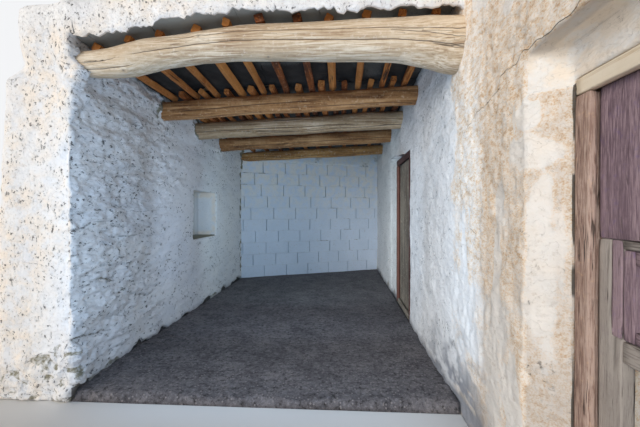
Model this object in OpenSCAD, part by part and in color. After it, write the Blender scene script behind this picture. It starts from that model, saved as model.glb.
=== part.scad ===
// Old earth-walled country house: an open porch under a rough log lintel and
// a long room beside it. Lengths are in millimetres. The plan is set out from
// the front inner foot of the porch's left wall, with x along the front, y
// going back and z up from the floor. Each piece is then moved so that the
// origin lies on the ground under the middle of the whole.

/* [Porch] */
// Clear width between the two porch walls
porch_w = 2400; // [2000:10:3000]
// Depth of the porch at its left corner
porch_d = 3810; // [3600:10:4600]
// How much deeper the porch is at its right corner
back_skew = 1060; // [400:10:1300]
// Thickness of the block wall at the back
block_t = 200; // [120:5:250]
// Thickness of the packed earth floors
floor_t = 60; // [40:5:120]

/* [Left wall] */
// Thickness of the left wall at its foot
left_foot_t = 560; // [520:10:700]
// Thickness of the left wall under its sloping shoulder
left_body_t = 480; // [430:10:500]
// Thickness of the left wall above its shoulder
left_head_t = 345; // [320:5:400]
// Height at which the shoulder starts
shoulder_z = 1980; // [1800:10:2020]
// Height over which the shoulder slopes back
shoulder_rise = 90; // [50:5:150]
// Top of the left wall's kerb beside the roof
kerb_z = 2390; // [2360:5:2500]
// Width of the kerb
kerb_t = 215; // [150:5:240]
// Radius of the wall's rounded free end
end_r = 110; // [40:5:150]
// Length of the wall past the block wall
left_tail = 120; // [40:10:400]

/* [Niche] */
// Distance of the niche from the front of the wall
niche_y = 1870; // [1500:10:2200]
// Width of the niche
niche_w = 740; // [400:10:900]
// Height of the niche's sill above the floor
niche_z = 810; // [600:10:1000]
// Height of the niche
niche_h = 575; // [400:5:700]
// Depth of the niche
niche_d = 280; // [150:5:330]

/* [Porch roof] */
// Height of the beams' tops at the left wall, over beam 1
deck_z = 2180; // [2150:5:2220]
// How much higher the beams' tops lie at the right wall
deck_rise = 108; // [0:2:140]
// How much lower beam 4 lies than beam 1
deck_fall = 40; // [0:2:60]
// Distance of beam 1 from the front of the wall
beam_1_y = 1170; // [900:10:1400]
// Distance of beam 2
beam_2_y = 1945; // [1750:10:2150]
// Distance of beam 3
beam_3_y = 2795; // [2500:10:3000]
// Distance of beam 4 behind the porch's left corner
beam_4_back = 60; // [-100:10:80]
// Diameter of beam 1
beam_1_d = 180; // [140:2:200]
// Diameter of beam 2
beam_2_d = 200; // [140:2:220]
// Diameter of beam 3
beam_3_d = 180; // [140:2:200]
// Diameter of beam 4
beam_4_d = 160; // [140:2:200]
// Length of each beam inside the walls
bearing = 240; // [150:10:250]
// Diameter of a roof lath
lath_d = 62; // [50:1:70]
// Number of laths in each span
lath_count = 11; // [8:1:12]
// How far the laths run past a beam
lath_lap = 100; // [60:5:150]
// Thickness of the slates
slate_t = 25; // [15:1:40]
// How far the laths run forward of the lintel's axis
lath_nose = 40; // [20:5:80]
// How far the slates stand out at the front
slate_eave = 30; // [20:5:50]
// Thickness of the earth on the slates
earth_t = 100; // [60:5:150]

/* [Lintel log] */
// Distance of the lintel's axis from the front of the wall
lintel_y = 80; // [60:2:100]
// Diameter of the lintel at the left wall
lintel_left_d = 130; // [110:2:160]
// Diameter of the lintel in the left half of its span
lintel_mid_d = 205; // [190:2:230]
// Diameter of the lintel at the right wall, where it is thickest
lintel_right_d = 332; // [290:2:340]
// Length of the lintel on the left wall
lintel_tail = 90; // [60:5:150]

/* [Front parapet] */
// How far the parapet's plaster stands out in front of the slates
parapet_lip = 15; // [10:1:25]
// Thickness of the parapet over the lintel
parapet_t = 250; // [200:5:300]
// Top of the parapet at its left end
parapet_left_z = 2430; // [2420:5:2600]
// Top of the parapet at the room's wall
parapet_right_z = 2590; // [2560:5:2700]

/* [Room beside the porch] */
// Clear width of the room
room_w = 2600; // [2000:10:3200]
// How far the room stands forward of the porch
room_forward = 2600; // [2400:10:3400]
// How far the room runs back past the porch's right corner
room_back = 450; // [300:10:1200]
// Thickness of the room's walls
wall_t = 550; // [480:10:650]
// Thickness of the parapet on the room's walls
room_parapet_t = 300; // [250:10:350]
// Top of the room's parapet
room_top_z = 2750; // [2680:5:3000]
// Radius of the parapet's rounded edges
parapet_r = 70; // [30:5:100]
// Height of the tops of the room's roof logs
room_log_top_z = 2340; // [2300:5:2380]
// Diameter of the room's roof logs
room_log_d = 170; // [140:2:190]
// Number of roof logs
room_log_count = 8; // [6:1:10]
// Number of laths across the room
room_lath_count = 11; // [9:1:14]

/* [Front door] */
// Distance from the front of the porch forward to the door frame
front_door_y = 815; // [780:5:1000]
// Width of the front door frame
front_door_w = 1000; // [900:10:1100]
// Height of the front door frame
front_door_h = 1605; // [1500:5:1700]
// Depth of the plastered recess in front of the frame
recess_d = 125; // [60:5:160]
// Length of the splay that leads into the recess
splay_l = 102; // [60:2:200]
// Width of the front door's posts
front_post_w = 72; // [60:1:90]
// Height of the front door's head timber
front_head_h = 58; // [50:1:90]
// Height of the plastered lintel over the frame
front_lintel_h = 135; // [100:5:180]
// Underside of the wide upper board
board_z = 1050; // [950:5:1150]
// Underside of the middle rail
mid_rail_z = 670; // [600:5:750]
// Height of the middle rail
mid_rail_h = 70; // [50:1:90]
// Width of the leaf's stiles
stile_w = 100; // [80:1:120]
// Width of the moulding round the pane
moulding_w = 42; // [25:1:60]

/* [Inner door] */
// Distance from the front of the porch back to the inner door frame
inner_door_y = 1560; // [1400:5:1700]
// Width of the inner door frame
inner_door_w = 878; // [800:2:1000]
// Height of the inner door frame
inner_door_h = 1770; // [1700:5:1850]
// Width of the inner door's posts
inner_post_w = 66; // [60:1:80]
// Height of the inner door's lintel
inner_lintel_h = 120; // [100:5:140]
// Height of the threshold
threshold_h = 55; // [30:1:80]

/* [Doors] */
// Depth of the frame in front of the closed leaf
lip_d = 30; // [20:1:50]
// Overlap of the frame in front of the leaf
lip_w = 14; // [10:1:20]
// Thickness of a door leaf
leaf_t = 45; // [35:1:50]
// Gap in front of, above and beside the hinge side of a leaf
leaf_gap = 6; // [5:1:10]
// Gap on the closing side of a leaf
close_gap = 9; // [8:1:14]
// Gap under a leaf
foot_gap = 12; // [8:1:25]
// Distance of the hinge pins behind the leaf
pin_offset = 18; // [16:1:24]
// Radius of the hinge pins
pin_r = 6; // [5:0.5:7]
// Length of the straps on a leaf
strap_l = 380; // [250:10:500]
// Length of a lintel inside the wall at each side
lintel_bearing = 120; // [80:5:200]

/* [Hidden] */
$fn = 48;

// clearances
seat_gap = 0.3;      // between a timber and what it rests on
joint_gap = 5;       // between neighbouring slates and walls
cut = 1;             // how far a cutter runs past a face
tall = 3000;         // length of a cutter that runs out of the model

// places of the walls
ground_z = -floor_t;
room_x = porch_w;                       // outer face of the room's near wall
room_in_x = porch_w + wall_t;           // its inner face
room_far_x = room_in_x + room_w;        // inner face of the far wall
room_end_x = room_far_x + wall_t;
room_front_y = -room_forward;
room_rear_y = porch_d + back_skew + room_back;
back_slope = back_skew / porch_w;
block_run = block_t * sqrt(1 + back_slope * back_slope);
left_rear_y = porch_d + block_run + left_tail;
middle = [(room_end_x - left_foot_t) / 2, (room_front_y + room_rear_y) / 2];

// door places
front_far_y = -front_door_y;
front_near_y = front_far_y - front_door_w;
front_face_x = porch_w + recess_d;
inner_near_y = inner_door_y;
inner_far_y = inner_near_y + inner_door_w;
front_soffit_z = front_door_h + front_lintel_h;
frame_d = lip_d + leaf_gap + leaf_t;

// a door as [face x, near y, far y, height, post width]
front_door = [front_face_x, front_near_y, front_far_y, front_door_h, front_post_w];
inner_door = [porch_w, inner_near_y, inner_far_y, inner_door_h, inner_post_w];

function face_x(d) = d[0];
function near_y(d) = d[1];
function far_y(d) = d[2];
function frame_h(d) = d[3];
function post_w(d) = d[4];
function leaf_out_x(d) = face_x(d) + lip_d + leaf_gap;
function leaf_in_x(d) = leaf_out_x(d) + leaf_t;
function rebate_near_y(d) = near_y(d) + post_w(d) - lip_w;
function rebate_far_y(d) = far_y(d) - post_w(d) + lip_w;
function leaf_near_y(d) = rebate_near_y(d) + leaf_gap;
function leaf_far_y(d) = rebate_far_y(d) - close_gap;
function pin_x(d) = leaf_in_x(d) + pin_offset;
function pin_y(d) = rebate_near_y(d);

// roof of the porch
lath_r = lath_d / 2;
lath_pitch = porch_w / lath_count;
beam_4_y = porch_d + beam_4_back;
beam_ys = [beam_1_y, beam_2_y, beam_3_y, beam_4_y];
beam_ds = [beam_1_d, beam_2_d, beam_3_d, beam_4_d];
deck_slope_x = deck_rise / porch_w;
deck_slope_y = -deck_fall / (beam_4_y - beam_1_y);
function deck_at(x, y) = deck_z + deck_slope_x * x + deck_slope_y * (y - beam_1_y);

// The lintel log along the porch: [share of the width, height of its top above
// the beams' tops at the left wall, its diameter]. It bends up from the left
// wall, has a swelling there, and grows thick at its right end
lintel_rings = [
    [0, -17, lintel_left_d],
    [0.03, -10, lintel_left_d + 34],
    [0.09, 5, lintel_mid_d - 18],
    [0.15, 39, lintel_mid_d + 14],
    [0.19, 58, lintel_mid_d + 12],
    [0.24, 68, lintel_mid_d - 3],
    [0.33, 94, lintel_mid_d - 3],
    [0.43, 115, lintel_mid_d + 3],
    [0.54, 124, lintel_mid_d + 18],
    [0.66, 128, lintel_mid_d + 33],
    [0.85, 135, lintel_right_d - 72],
    [0.93, 135, lintel_right_d - 36],
    [0.965, 133, lintel_right_d - 12],
    [1, 132, lintel_right_d],
];
lintel_crown = [for (ring = lintel_rings) [ring[0], ring[1]]];
lintel_swell = [for (ring = lintel_rings) [ring[0], ring[2]]];
function lintel_top(x) = deck_z + lookup(x / porch_w, lintel_crown);
function lintel_r(x) = lookup(x / porch_w, lintel_swell) / 2;
function lintel_slope(x) = (lintel_top(x + 20) - lintel_top(x - 20)) / 40;

// a regular unevenness between -1 and 1
function uneven(i, kind = 0) = sin(i * 137.5 + kind * 71);

// surface that the laths' tops give the slates, at the front and over beam 1
function front_line(x) = lintel_top(x) + lath_d + 2 * seat_gap + 9;
function deck_line(x) = deck_at(x, beam_1_y) + lath_d + 2 * seat_gap + 1;

// joints between the slates, as shares of the porch's width
slate_x0 = -left_head_t + kerb_t + joint_gap;
slate_x5 = porch_w - joint_gap;
slate_joints = [slate_x0, 0.05 * porch_w, 0.19 * porch_w, 0.43 * porch_w, 0.66 * porch_w, slate_x5];
slate_rear_eave = 30;
parapet_seat_z = deck_z + 60;            // underside of the parapet on the left wall

// Middle of the plan is moved over the origin, and the ground up to it
module place() {
    translate([-middle[0], -middle[1], floor_t]) children();
}

// A box from one corner to the opposite one
module box(low, high) {
    translate(low) cube(high - low);
}

// A bar of round section along x, y or z between two places on its axis
module bar_x(x0, x1, y, z, r) {
    translate([x0, y, z]) rotate([0, 90, 0]) cylinder(r = r, h = x1 - x0);
}

module bar_z(x, y, z0, z1, r) {
    translate([x, y, z0]) cylinder(r = r, h = z1 - z0);
}

// What is cut away to round an upright edge at the corner [x, y]; turn gives
// the quarter in which the wall lies
module edge_cutter(x, y, r, turn) {
    translate([x, y, ground_z - cut]) rotate([0, 0, turn])
        difference() {
            translate([-cut, -cut, 0]) cube([r + cut, r + cut, tall]);
            translate([r, r, -cut]) cylinder(r = r, h = tall + 2 * cut);
        }
}

// A rough log along x: rings is a list of [x, y, z, radius]
module rough_log(rings) {
    sides = 16;
    n = len(rings);
    points = [for (ring = rings) for (k = [0 : sides - 1])
        [ring[0],
         ring[1] + ring[3] * cos(360 * k / sides),
         ring[2] + ring[3] * sin(360 * k / sides)]];
    side_faces = [for (i = [0 : n - 2]) for (k = [0 : sides - 1]) for (half = [0, 1])
        let (a = i * sides + k,
             b = i * sides + (k + 1) % sides,
             c = a + sides,
             d = b + sides)
        half == 0 ? [a, c, b] : [b, c, d]];
    first = [for (k = [0 : sides - 1]) k];
    last = [for (k = [sides - 1 : -1 : 0]) (n - 1) * sides + k];
    polyhedron(points = points, faces = concat([first], side_faces, [last]), convexity = 4);
}

// A porch beam number i, with straight ends in the walls
function beam_r(i) = beam_ds[i] / 2;
function beam_end_z(i, x) = deck_at(x, beam_ys[i]) - beam_r(i);
module beam(i) {
    steps = 6;
    r = beam_r(i);
    y = beam_ys[i];
    span = [for (s = [1 : steps - 1])
        let (x = porch_w * s / steps, rs = r * (1 + 0.045 * uneven(s, i)))
        [x, y + 9 * uneven(s, i + 3), deck_at(x, y) - rs, rs]];
    rough_log(concat(
        [[-bearing, y, beam_end_z(i, 0), r], [0, y, beam_end_z(i, 0), r]],
        span,
        [[porch_w, y, beam_end_z(i, porch_w), r],
         [porch_w + bearing, y, beam_end_z(i, porch_w), r]]));
}

// Sockets of the porch's beams in a wall, at the left or the right end
module beam_sockets(right) {
    for (i = [0 : 3]) {
        r = beam_r(i) + seat_gap;
        if (right)
            bar_x(porch_w - cut, porch_w + bearing + seat_gap, beam_ys[i], beam_end_z(i, porch_w), r);
        else
            bar_x(-bearing - seat_gap, cut, beam_ys[i], beam_end_z(i, 0), r);
    }
}

lintel_left_z = lintel_top(0) - lintel_left_d / 2;
lintel_right_z = lintel_top(porch_w) - lintel_right_d / 2;
module lintel_log() {
    color("#C2B090") place() rough_log(concat(
        [[-lintel_tail, lintel_y, lintel_left_z, lintel_left_d / 2 - 14],
         [-lintel_tail + 30, lintel_y, lintel_left_z, lintel_left_d / 2],
         [0, lintel_y, lintel_left_z, lintel_left_d / 2]],
        [for (s = [1 : len(lintel_rings) - 2])
            let (x = lintel_rings[s][0] * porch_w)
            [x, lintel_y, lintel_top(x) - lintel_r(x), lintel_r(x)]],
        [[porch_w, lintel_y, lintel_right_z, lintel_right_d / 2],
         [porch_w + bearing, lintel_y, lintel_right_z, lintel_right_d / 2]]));
}

module lintel_sockets() {
    bar_x(-lintel_tail - seat_gap, cut, lintel_y, lintel_left_z, lintel_left_d / 2 + seat_gap);
    bar_x(porch_w - cut, porch_w + bearing + seat_gap, lintel_y, lintel_right_z,
          lintel_right_d / 2 + seat_gap);
}

module beam_1() { color("#86654B") place() beam(0); }
module beam_2() { color("#8F8472") place() beam(1); }
module beam_3() { color("#7C5F47") place() beam(2); }
module beam_4() { color("#80623F") place() beam(3); }

// A lath from one point of its axis to another, in a plane of constant x
module lath(x, y0, z0, y1, z1, r = lath_r) {
    run = y1 - y0;
    rise = z1 - z0;
    translate([x, y0, z0]) rotate([-90 + atan2(rise, run), 0, 0])
        cylinder(r = r, h = sqrt(run * run + rise * rise));
}

function lath_x(i, span) =
    (i + (span % 2 == 0 ? 0.5 : 0.98)) * lath_pitch + 0.055 * lath_pitch * uneven(i, span) - 6;
function laths_in(span) = span % 2 == 0 ? lath_count : lath_count - 1;

// The rear edge of the laths in the last span: on the block wall
function wall_front_y(x) = porch_d + back_slope * x;

module laths_over_lintel() {
    for (i = [0 : laths_in(0) - 1]) {
        x = lath_x(i, 0);
        front_z = lintel_top(x) + lath_r * sqrt(1 + pow(lintel_slope(x), 2)) + seat_gap + 0.5;
        back_z = deck_at(x, beam_1_y) + lath_r + seat_gap + 0.2;
        slope = (back_z - front_z) / (beam_1_y - lintel_y);
        y0 = lintel_y - lath_nose + 14 * uneven(i, 5);
        // the rear ends lie on beam 1 and stop there, under the rear slates
        y1 = beam_1_y + 0.3 * lath_lap + 6 * uneven(i, 6);
        lath(x, y0, front_z + slope * (y0 - lintel_y), y1, front_z + slope * (y1 - lintel_y));
    }
}

module laths_over_beams(span, room = 0) {
    for (i = [0 : laths_in(span) - 1]) {
        x = lath_x(i, span);
        y0 = beam_ys[span - 1] - lath_lap + 25 * uneven(i, span + 6);
        y1 = span == 3 ? wall_front_y(x) + block_run - 30
                       : beam_ys[span] + lath_lap + 25 * uneven(i, span + 9);
        lift = lath_r + seat_gap + 0.2;
        lath(x, y0, deck_at(x, y0) + lift, y1 + room, deck_at(x, y1 + room) + lift, lath_r + room);
    }
}

module laths_1() { color("#A5622A") place() laths_over_lintel(); }
module laths_2() { color("#A5622A") place() laths_over_beams(1); }
module laths_3() { color("#A5622A") place() laths_over_beams(2); }
module laths_4() { color("#A5622A") place() laths_over_beams(3); }

// A plate whose underside lies in the plane through [x, y, z] with slopes a
// along x and b along y; under and over are its depths below and above it
module plate(place_and_slopes, under, over) {
    x = place_and_slopes[0];
    y = place_and_slopes[1];
    z = place_and_slopes[2];
    a = place_and_slopes[3];
    b = place_and_slopes[4];
    lean = atan(a);
    half = 2 * (porch_d + back_skew);
    translate([x, y, z]) rotate([atan(b * cos(lean)), -lean, 0])
        translate([-half / 2, -half / 2, -under]) cube([half, half, under + over]);
}

// The part of a plate that lies over an outline in plan
module plate_over(place_and_slopes, under, over, outline) {
    intersection() {
        plate(place_and_slopes, under, over);
        translate([0, 0, deck_z - tall / 2]) linear_extrude(tall) polygon(outline);
    }
}

// Plane of a slate of the front row: it lies on the laths at the front and on
// the higher of its two rear corners
function front_plane(i) =
    let (x0 = slate_joints[i],
         x1 = slate_joints[i + 1],
         run = beam_1_y - lintel_y,
         a = (front_line(x1) - front_line(x0)) / (x1 - x0),
         b = max((deck_line(x0) - front_line(x0)) / run, (deck_line(x1) - front_line(x1)) / run))
    [x0, lintel_y, front_line(x0), a, b];

// The slates behind beam 1 all lie in one plane
rear_plane = [0, beam_1_y, deck_line(0), deck_slope_x, deck_slope_y];
function roof_rear_y(x) = wall_front_y(x) + block_run + slate_rear_eave;

module slates(under = 0, over = slate_t, grow = 0) {
    gap = joint_gap / 2;
    for (i = [0 : len(slate_joints) - 2]) {
        x0 = slate_joints[i] + gap - grow;
        x1 = slate_joints[i + 1] - gap + grow;
        front_y = -slate_eave - grow;
        row_y = beam_1_y - gap + grow;
        plate_over(front_plane(i), under, over,
                   [[x0, front_y], [x1, front_y], [x1, row_y], [x0, row_y]]);
        plate_over(rear_plane, under, over,
                   [[x0, beam_1_y + gap - grow], [x1, beam_1_y + gap - grow],
                    [x1, roof_rear_y(x1) + grow], [x0, roof_rear_y(x0) + grow]]);
    }
}

// Everything below the slates' tops, and everything above their undersides
side_room = 1.5 * joint_gap;
module under_slates() { slates(under = 600, over = slate_t + seat_gap, grow = side_room); }
module over_slates() { slates(under = seat_gap, over = 600, grow = side_room); }

module porch_slates() { color("#3A3D40") place() slates(); }

// Earth on the porch roof, behind the parapet
parapet_y0 = -slate_eave - parapet_lip;
parapet_y1 = parapet_y0 + parapet_t;
module porch_roof_earth() {
    top = deck_line(0) + slate_t + earth_t;
    x0 = slate_x0 + joint_gap;
    x1 = slate_x5 - joint_gap;
    y0 = parapet_y1 + seat_gap;
    color("#8C7A62") place() difference() {
        plate_over([0, 0, top, deck_slope_x, 0], 400, 0,
                   [[x0, y0], [x1, y0], [x1, roof_rear_y(x1) - 60], [x0, roof_rear_y(x0) - 60]]);
        under_slates();
    }
}

// Room below the slates' undersides, also in front of them
module below_slates() {
    for (i = [0 : len(slate_joints) - 2]) {
        x0 = slate_joints[i] - (i == 0 ? joint_gap : 0);
        x1 = slate_joints[i + 1] + (i == len(slate_joints) - 2 ? joint_gap : 0);
        plate_over(front_plane(i), 600, 0, [[x0, -200], [x1, -200], [x1, beam_1_y], [x0, beam_1_y]]);
    }
}

// The plastered parapet over the lintel, with a rounded top, on the slates
// and on the front of the left wall. Its plaster covers the slates' front
module porch_parapet() {
    x0 = -left_head_t;
    lean = atan((parapet_right_z - parapet_left_z) / (porch_w - x0));
    r = parapet_r;
    l = porch_w * 1.3;
    color("#EFE7DB") place() difference() {
        intersection() {
            box([x0, parapet_y0, parapet_seat_z], [porch_w - seat_gap, parapet_y1, room_top_z]);
            translate([x0 - 2 * r, parapet_y0, parapet_left_z]) rotate([0, -lean, 0]) {
                translate([0, r, -500]) cube([l, parapet_t - 2 * r, 500]);
                translate([0, 0, -500]) cube([l, parapet_t, 500 - r]);
                for (y = [r, parapet_t - r])
                    translate([0, y, -r]) rotate([0, 90, 0]) cylinder(r = r, h = l);
            }
        }
        under_slates();
        below_slates();
        edge_cutter(x0, parapet_y0, end_r, 0);
        // its left end is round at the top too
        translate([x0, parapet_y0 - cut, parapet_left_z]) rotate([-90, 0, 0]) difference() {
            translate([-cut, -end_r, 0]) cube([end_r + cut, 2 * end_r, parapet_t + 2 * cut]);
            translate([end_r, end_r, -cut]) cylinder(r = end_r, h = parapet_t + 4 * cut);
        }
    }
}

// The left wall: a battered outer face, a shoulder, a thinner head with a
// kerb, a rounded free end and the niche
module left_wall() {
    color("#ECE6DA") place() difference() {
        translate([0, left_rear_y, 0]) rotate([90, 0, 0]) linear_extrude(left_rear_y)
            polygon([[-left_foot_t, ground_z], [0, ground_z], [0, kerb_z],
                     [-left_head_t, kerb_z], [-left_head_t, shoulder_z + shoulder_rise],
                     [-left_body_t, shoulder_z]]);
        edge_cutter(-left_foot_t, 0, end_r, 0);
        edge_cutter(0, 0, end_r / 3, 90);
        over_slates();
        // the parapet stands on the front of the wall
        box([-left_foot_t, -end_r, parapet_seat_z - seat_gap], [cut, parapet_y1 + seat_gap, tall]);
        beam_sockets(false);
        lintel_sockets();
        box([-niche_d, niche_y, niche_z], [cut, niche_y + niche_w, niche_z + niche_h]);
    }
}

// The block wall, skewed, closed between the laths up to the slates
module back_wall() {
    color("#E6E8E8") place() difference() {
        translate([0, 0, ground_z]) linear_extrude(deck_z + deck_rise + 2 * lath_d - ground_z)
            polygon([[0, porch_d], [porch_w, porch_d + back_skew],
                     [porch_w, porch_d + back_skew + block_run], [0, porch_d + block_run]]);
        plate([0, beam_1_y, deck_line(0) - seat_gap, deck_slope_x, deck_slope_y], 0, 500);
        laths_over_beams(3, seat_gap + 0.3);
        // notch of beam 4
        bar_x(-cut, porch_w + cut, beam_4_y, beam_end_z(3, 0), beam_r(3) * 1.05 + 10);
        box([-cut, beam_4_y - beam_r(3) - 14, beam_end_z(3, 0)],
            [porch_w + cut, beam_4_y + beam_r(3) + 14, tall]);
    }
}

// Section of the room's walls: full thickness up to the logs' tops, then a
// parapet with rounded edges on the outer part. The outer face is at x = 0
module room_wall_section() {
    r = parapet_r;
    p = room_parapet_t;
    translate([0, ground_z]) square([wall_t, room_log_top_z - ground_z]);
    translate([0, ground_z]) square([p, room_top_z - r - ground_z]);
    translate([r, ground_z]) square([p - 2 * r, room_top_z - ground_z]);
    for (x = [r, p - r]) translate([x, room_top_z - r]) circle(r = r);
}

// A stretch of the wall between the porch and the room
module near_wall(y0, y1) {
    translate([room_x, y1, 0]) rotate([90, 0, 0]) linear_extrude(y1 - y0) room_wall_section();
}

room_log_pitch = (room_rear_y - room_front_y - 2 * wall_t) / room_log_count;
room_log_bearing = 200;
function room_log_y(i) = room_front_y + wall_t + (i + 0.5) * room_log_pitch;
room_log_z = room_log_top_z - room_log_d / 2 - seat_gap;

// Sockets of the room's logs in the side walls
module room_log_sockets() {
    for (i = [0 : room_log_count - 1])
        bar_x(room_in_x - room_log_bearing - seat_gap, room_far_x + room_log_bearing + seat_gap,
              room_log_y(i), room_log_z, room_log_d / 2 + seat_gap);
}

// The plastered recess round the front door, splayed in plan
module front_recess() {
    low = ground_z - cut;
    translate([0, 0, low]) linear_extrude(front_soffit_z - low)
        polygon([[porch_w, front_near_y - splay_l], [porch_w, front_far_y + splay_l],
                 [front_face_x, front_far_y], [front_face_x, front_near_y]]);
    translate([0, 0, low]) linear_extrude(front_soffit_z - low)
        polygon([[porch_w - cut, front_near_y - splay_l], [porch_w + 0.01, front_near_y - splay_l],
                 [porch_w + 0.01, front_far_y + splay_l], [porch_w - cut, front_far_y + splay_l]]);
}

// Room that a lintel takes in the walls beside its doorway
module lintel_room(d, h) {
    box([face_x(d) - cut, near_y(d) - lintel_bearing, frame_h(d)],
        [room_in_x + cut, far_y(d) + lintel_bearing, frame_h(d) + h]);
}

module near_wall_cuts() {
    front_recess();
    lintel_room(front_door, front_lintel_h);
    lintel_room(inner_door, inner_lintel_h);
    beam_sockets(true);
    lintel_sockets();
    room_log_sockets();
}

module corner_wall() {
    color("#E6CDAA") place() difference() {
        near_wall(room_front_y, front_near_y);
        near_wall_cuts();
        edge_cutter(room_x, room_front_y, end_r, 0);
    }
}

module wall_over_front_door() {
    color("#E6CDAA") place() difference() {
        near_wall(front_near_y, front_far_y);
        box([room_x - cut, front_near_y - cut, ground_z - cut],
            [room_in_x + cut, front_far_y + cut, front_soffit_z]);
        room_log_sockets();
    }
}

module wall_between_doors() {
    color("#E9DCC8") place() difference() {
        near_wall(front_far_y, inner_near_y);
        near_wall_cuts();
    }
}

module wall_over_inner_door() {
    color("#E9E8E2") place() difference() {
        near_wall(inner_near_y, inner_far_y);
        box([room_x - cut, inner_near_y - cut, ground_z - cut],
            [room_in_x + cut, inner_far_y + cut, inner_door_h + inner_lintel_h]);
        beam_sockets(true);
        room_log_sockets();
    }
}

module wall_behind_inner_door() {
    color("#E9E8E2") place() difference() {
        near_wall(inner_far_y, room_rear_y);
        near_wall_cuts();
        edge_cutter(room_x, room_rear_y, end_r, -90);
    }
}

module room_side_wall() {
    color("#E6CDAA") place() difference() {
        translate([room_end_x, room_rear_y, 0]) mirror([1, 0, 0]) rotate([90, 0, 0])
            linear_extrude(room_rear_y - room_front_y) room_wall_section();
        room_log_sockets();
        edge_cutter(room_end_x, room_front_y, end_r, 90);
        edge_cutter(room_end_x, room_rear_y, end_r, 180);
    }
}

// The end walls stand between the long walls
module end_wall() {
    rotate([90, 0, 90]) linear_extrude(room_w) room_wall_section();
}

// Fills between the long walls' ledges, above the room's corners
module corner_fill() {
    r = parapet_r;
    p = room_parapet_t;
    for (x = [room_parapet_t - wall_t, room_w])
        translate([x, 0, 0]) rotate([90, 0, 90]) linear_extrude(wall_t - p) {
            translate([0, room_log_top_z]) square([p, room_top_z - r - room_log_top_z]);
            translate([r, room_log_top_z]) square([p - 2 * r, room_top_z - room_log_top_z]);
            for (x2 = [r, p - r]) translate([x2, room_top_z - r]) circle(r = r);
        }
}

module room_front_wall() {
    color("#E6CDAA") place() translate([room_in_x, room_front_y, 0]) {
        end_wall();
        corner_fill();
    }
}

module room_rear_wall() {
    color("#E6CDAA") place() translate([room_in_x, room_rear_y, 0]) mirror([0, 1, 0]) {
        end_wall();
        corner_fill();
    }
}

module porch_floor() {
    color("#6A6462") place() translate([0, 0, ground_z]) linear_extrude(floor_t)
        polygon([[0, 0], [porch_w, 0], [porch_w, porch_d + back_skew], [0, porch_d]]);
}

// The room's floor runs out into both doorways
module room_floor() {
    color("#6A6462") place() {
        box([room_in_x, room_front_y + wall_t, ground_z], [room_far_x, room_rear_y - wall_t, 0]);
        for (d = [front_door, inner_door])
            box([face_x(d), near_y(d), ground_z], [room_in_x, far_y(d), 0]);
    }
}

// Roof of the room: logs, laths along it, slates and earth
module room_logs() {
    color("#8F7A5E") place() for (i = [0 : room_log_count - 1])
        bar_x(room_in_x - room_log_bearing, room_far_x + room_log_bearing, room_log_y(i),
              room_log_z, room_log_d / 2);
}

roof_x0 = room_x + room_parapet_t + joint_gap;
roof_x1 = room_end_x - room_parapet_t - joint_gap;
roof_y0 = room_front_y + room_parapet_t + joint_gap;
roof_y1 = room_rear_y - room_parapet_t - joint_gap;
room_lath_pitch = (roof_x1 - roof_x0 - 2 * lath_d) / (room_lath_count - 1);
room_slate_z = room_log_top_z + lath_d + 2 * seat_gap;

module room_laths() {
    color("#A5622A") place() for (i = [0 : room_lath_count - 1])
        translate([roof_x0 + lath_d + i * room_lath_pitch, roof_y0 + joint_gap,
                   room_log_top_z + lath_r + seat_gap])
            rotate([-90, 0, 0]) cylinder(r = lath_r, h = roof_y1 - roof_y0 - 2 * joint_gap);
}

module room_slates() {
    color("#3A3D40") place()
        box([roof_x0, roof_y0, room_slate_z], [roof_x1, roof_y1, room_slate_z + slate_t]);
}

// The earth falls a little to the far side
module room_roof_earth() {
    w = roof_x1 - roof_x0;
    z = room_slate_z + slate_t + seat_gap;
    color("#8C7A62") place() translate([roof_x0, roof_y1, 0]) rotate([90, 0, 0])
        linear_extrude(roof_y1 - roof_y0)
        polygon([[0, z], [w, z], [w, z + earth_t], [w / 3, z + earth_t * 1.3], [0, z + earth_t * 1.2]]);
}

// Door frames: two posts and a head, with a lip in front of the leaf
module posts(d, head_h) {
    post_h = frame_h(d) - head_h;
    for (side = [0, 1])
        translate([face_x(d), side == 0 ? near_y(d) : far_y(d), 0]) mirror([0, side, 0])
            linear_extrude(post_h)
            polygon([[0, 0], [frame_d, 0], [frame_d, post_w(d) - lip_w], [lip_d, post_w(d) - lip_w],
                     [lip_d, post_w(d)], [0, post_w(d)]]);
}

module head(d, head_h) {
    translate([face_x(d), far_y(d), frame_h(d)]) rotate([90, 0, 0])
        linear_extrude(far_y(d) - near_y(d))
        polygon([[0, 0], [frame_d, 0], [frame_d, lip_w - head_h], [lip_d, lip_w - head_h],
                 [lip_d, -head_h], [0, -head_h]]);
}

module door_lintel(d, h) {
    box([face_x(d), near_y(d) - lintel_bearing, frame_h(d)],
        [room_in_x, far_y(d) + lintel_bearing, frame_h(d) + h]);
}

// Iron pins on the near post, at the bottom rail and behind the upper board:
// a bar let into the post carries each pin
function pin_heights(d) = [foot_gap + 40, 0.8 * frame_h(d)];
eye_h = 40;
eye_r = pin_r + 6;
pin_bar_h = 14;
module pintles(d) {
    for (z = pin_heights(d)) {
        box([leaf_in_x(d), near_y(d) + 8, z - pin_bar_h], [pin_x(d) + pin_r + 2, pin_y(d), z]);
        bar_z(pin_x(d), pin_y(d), z - pin_bar_h, z, pin_r + 2);
        bar_z(pin_x(d), pin_y(d), z - cut, z + eye_h + 8, pin_r);
    }
}

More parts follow.
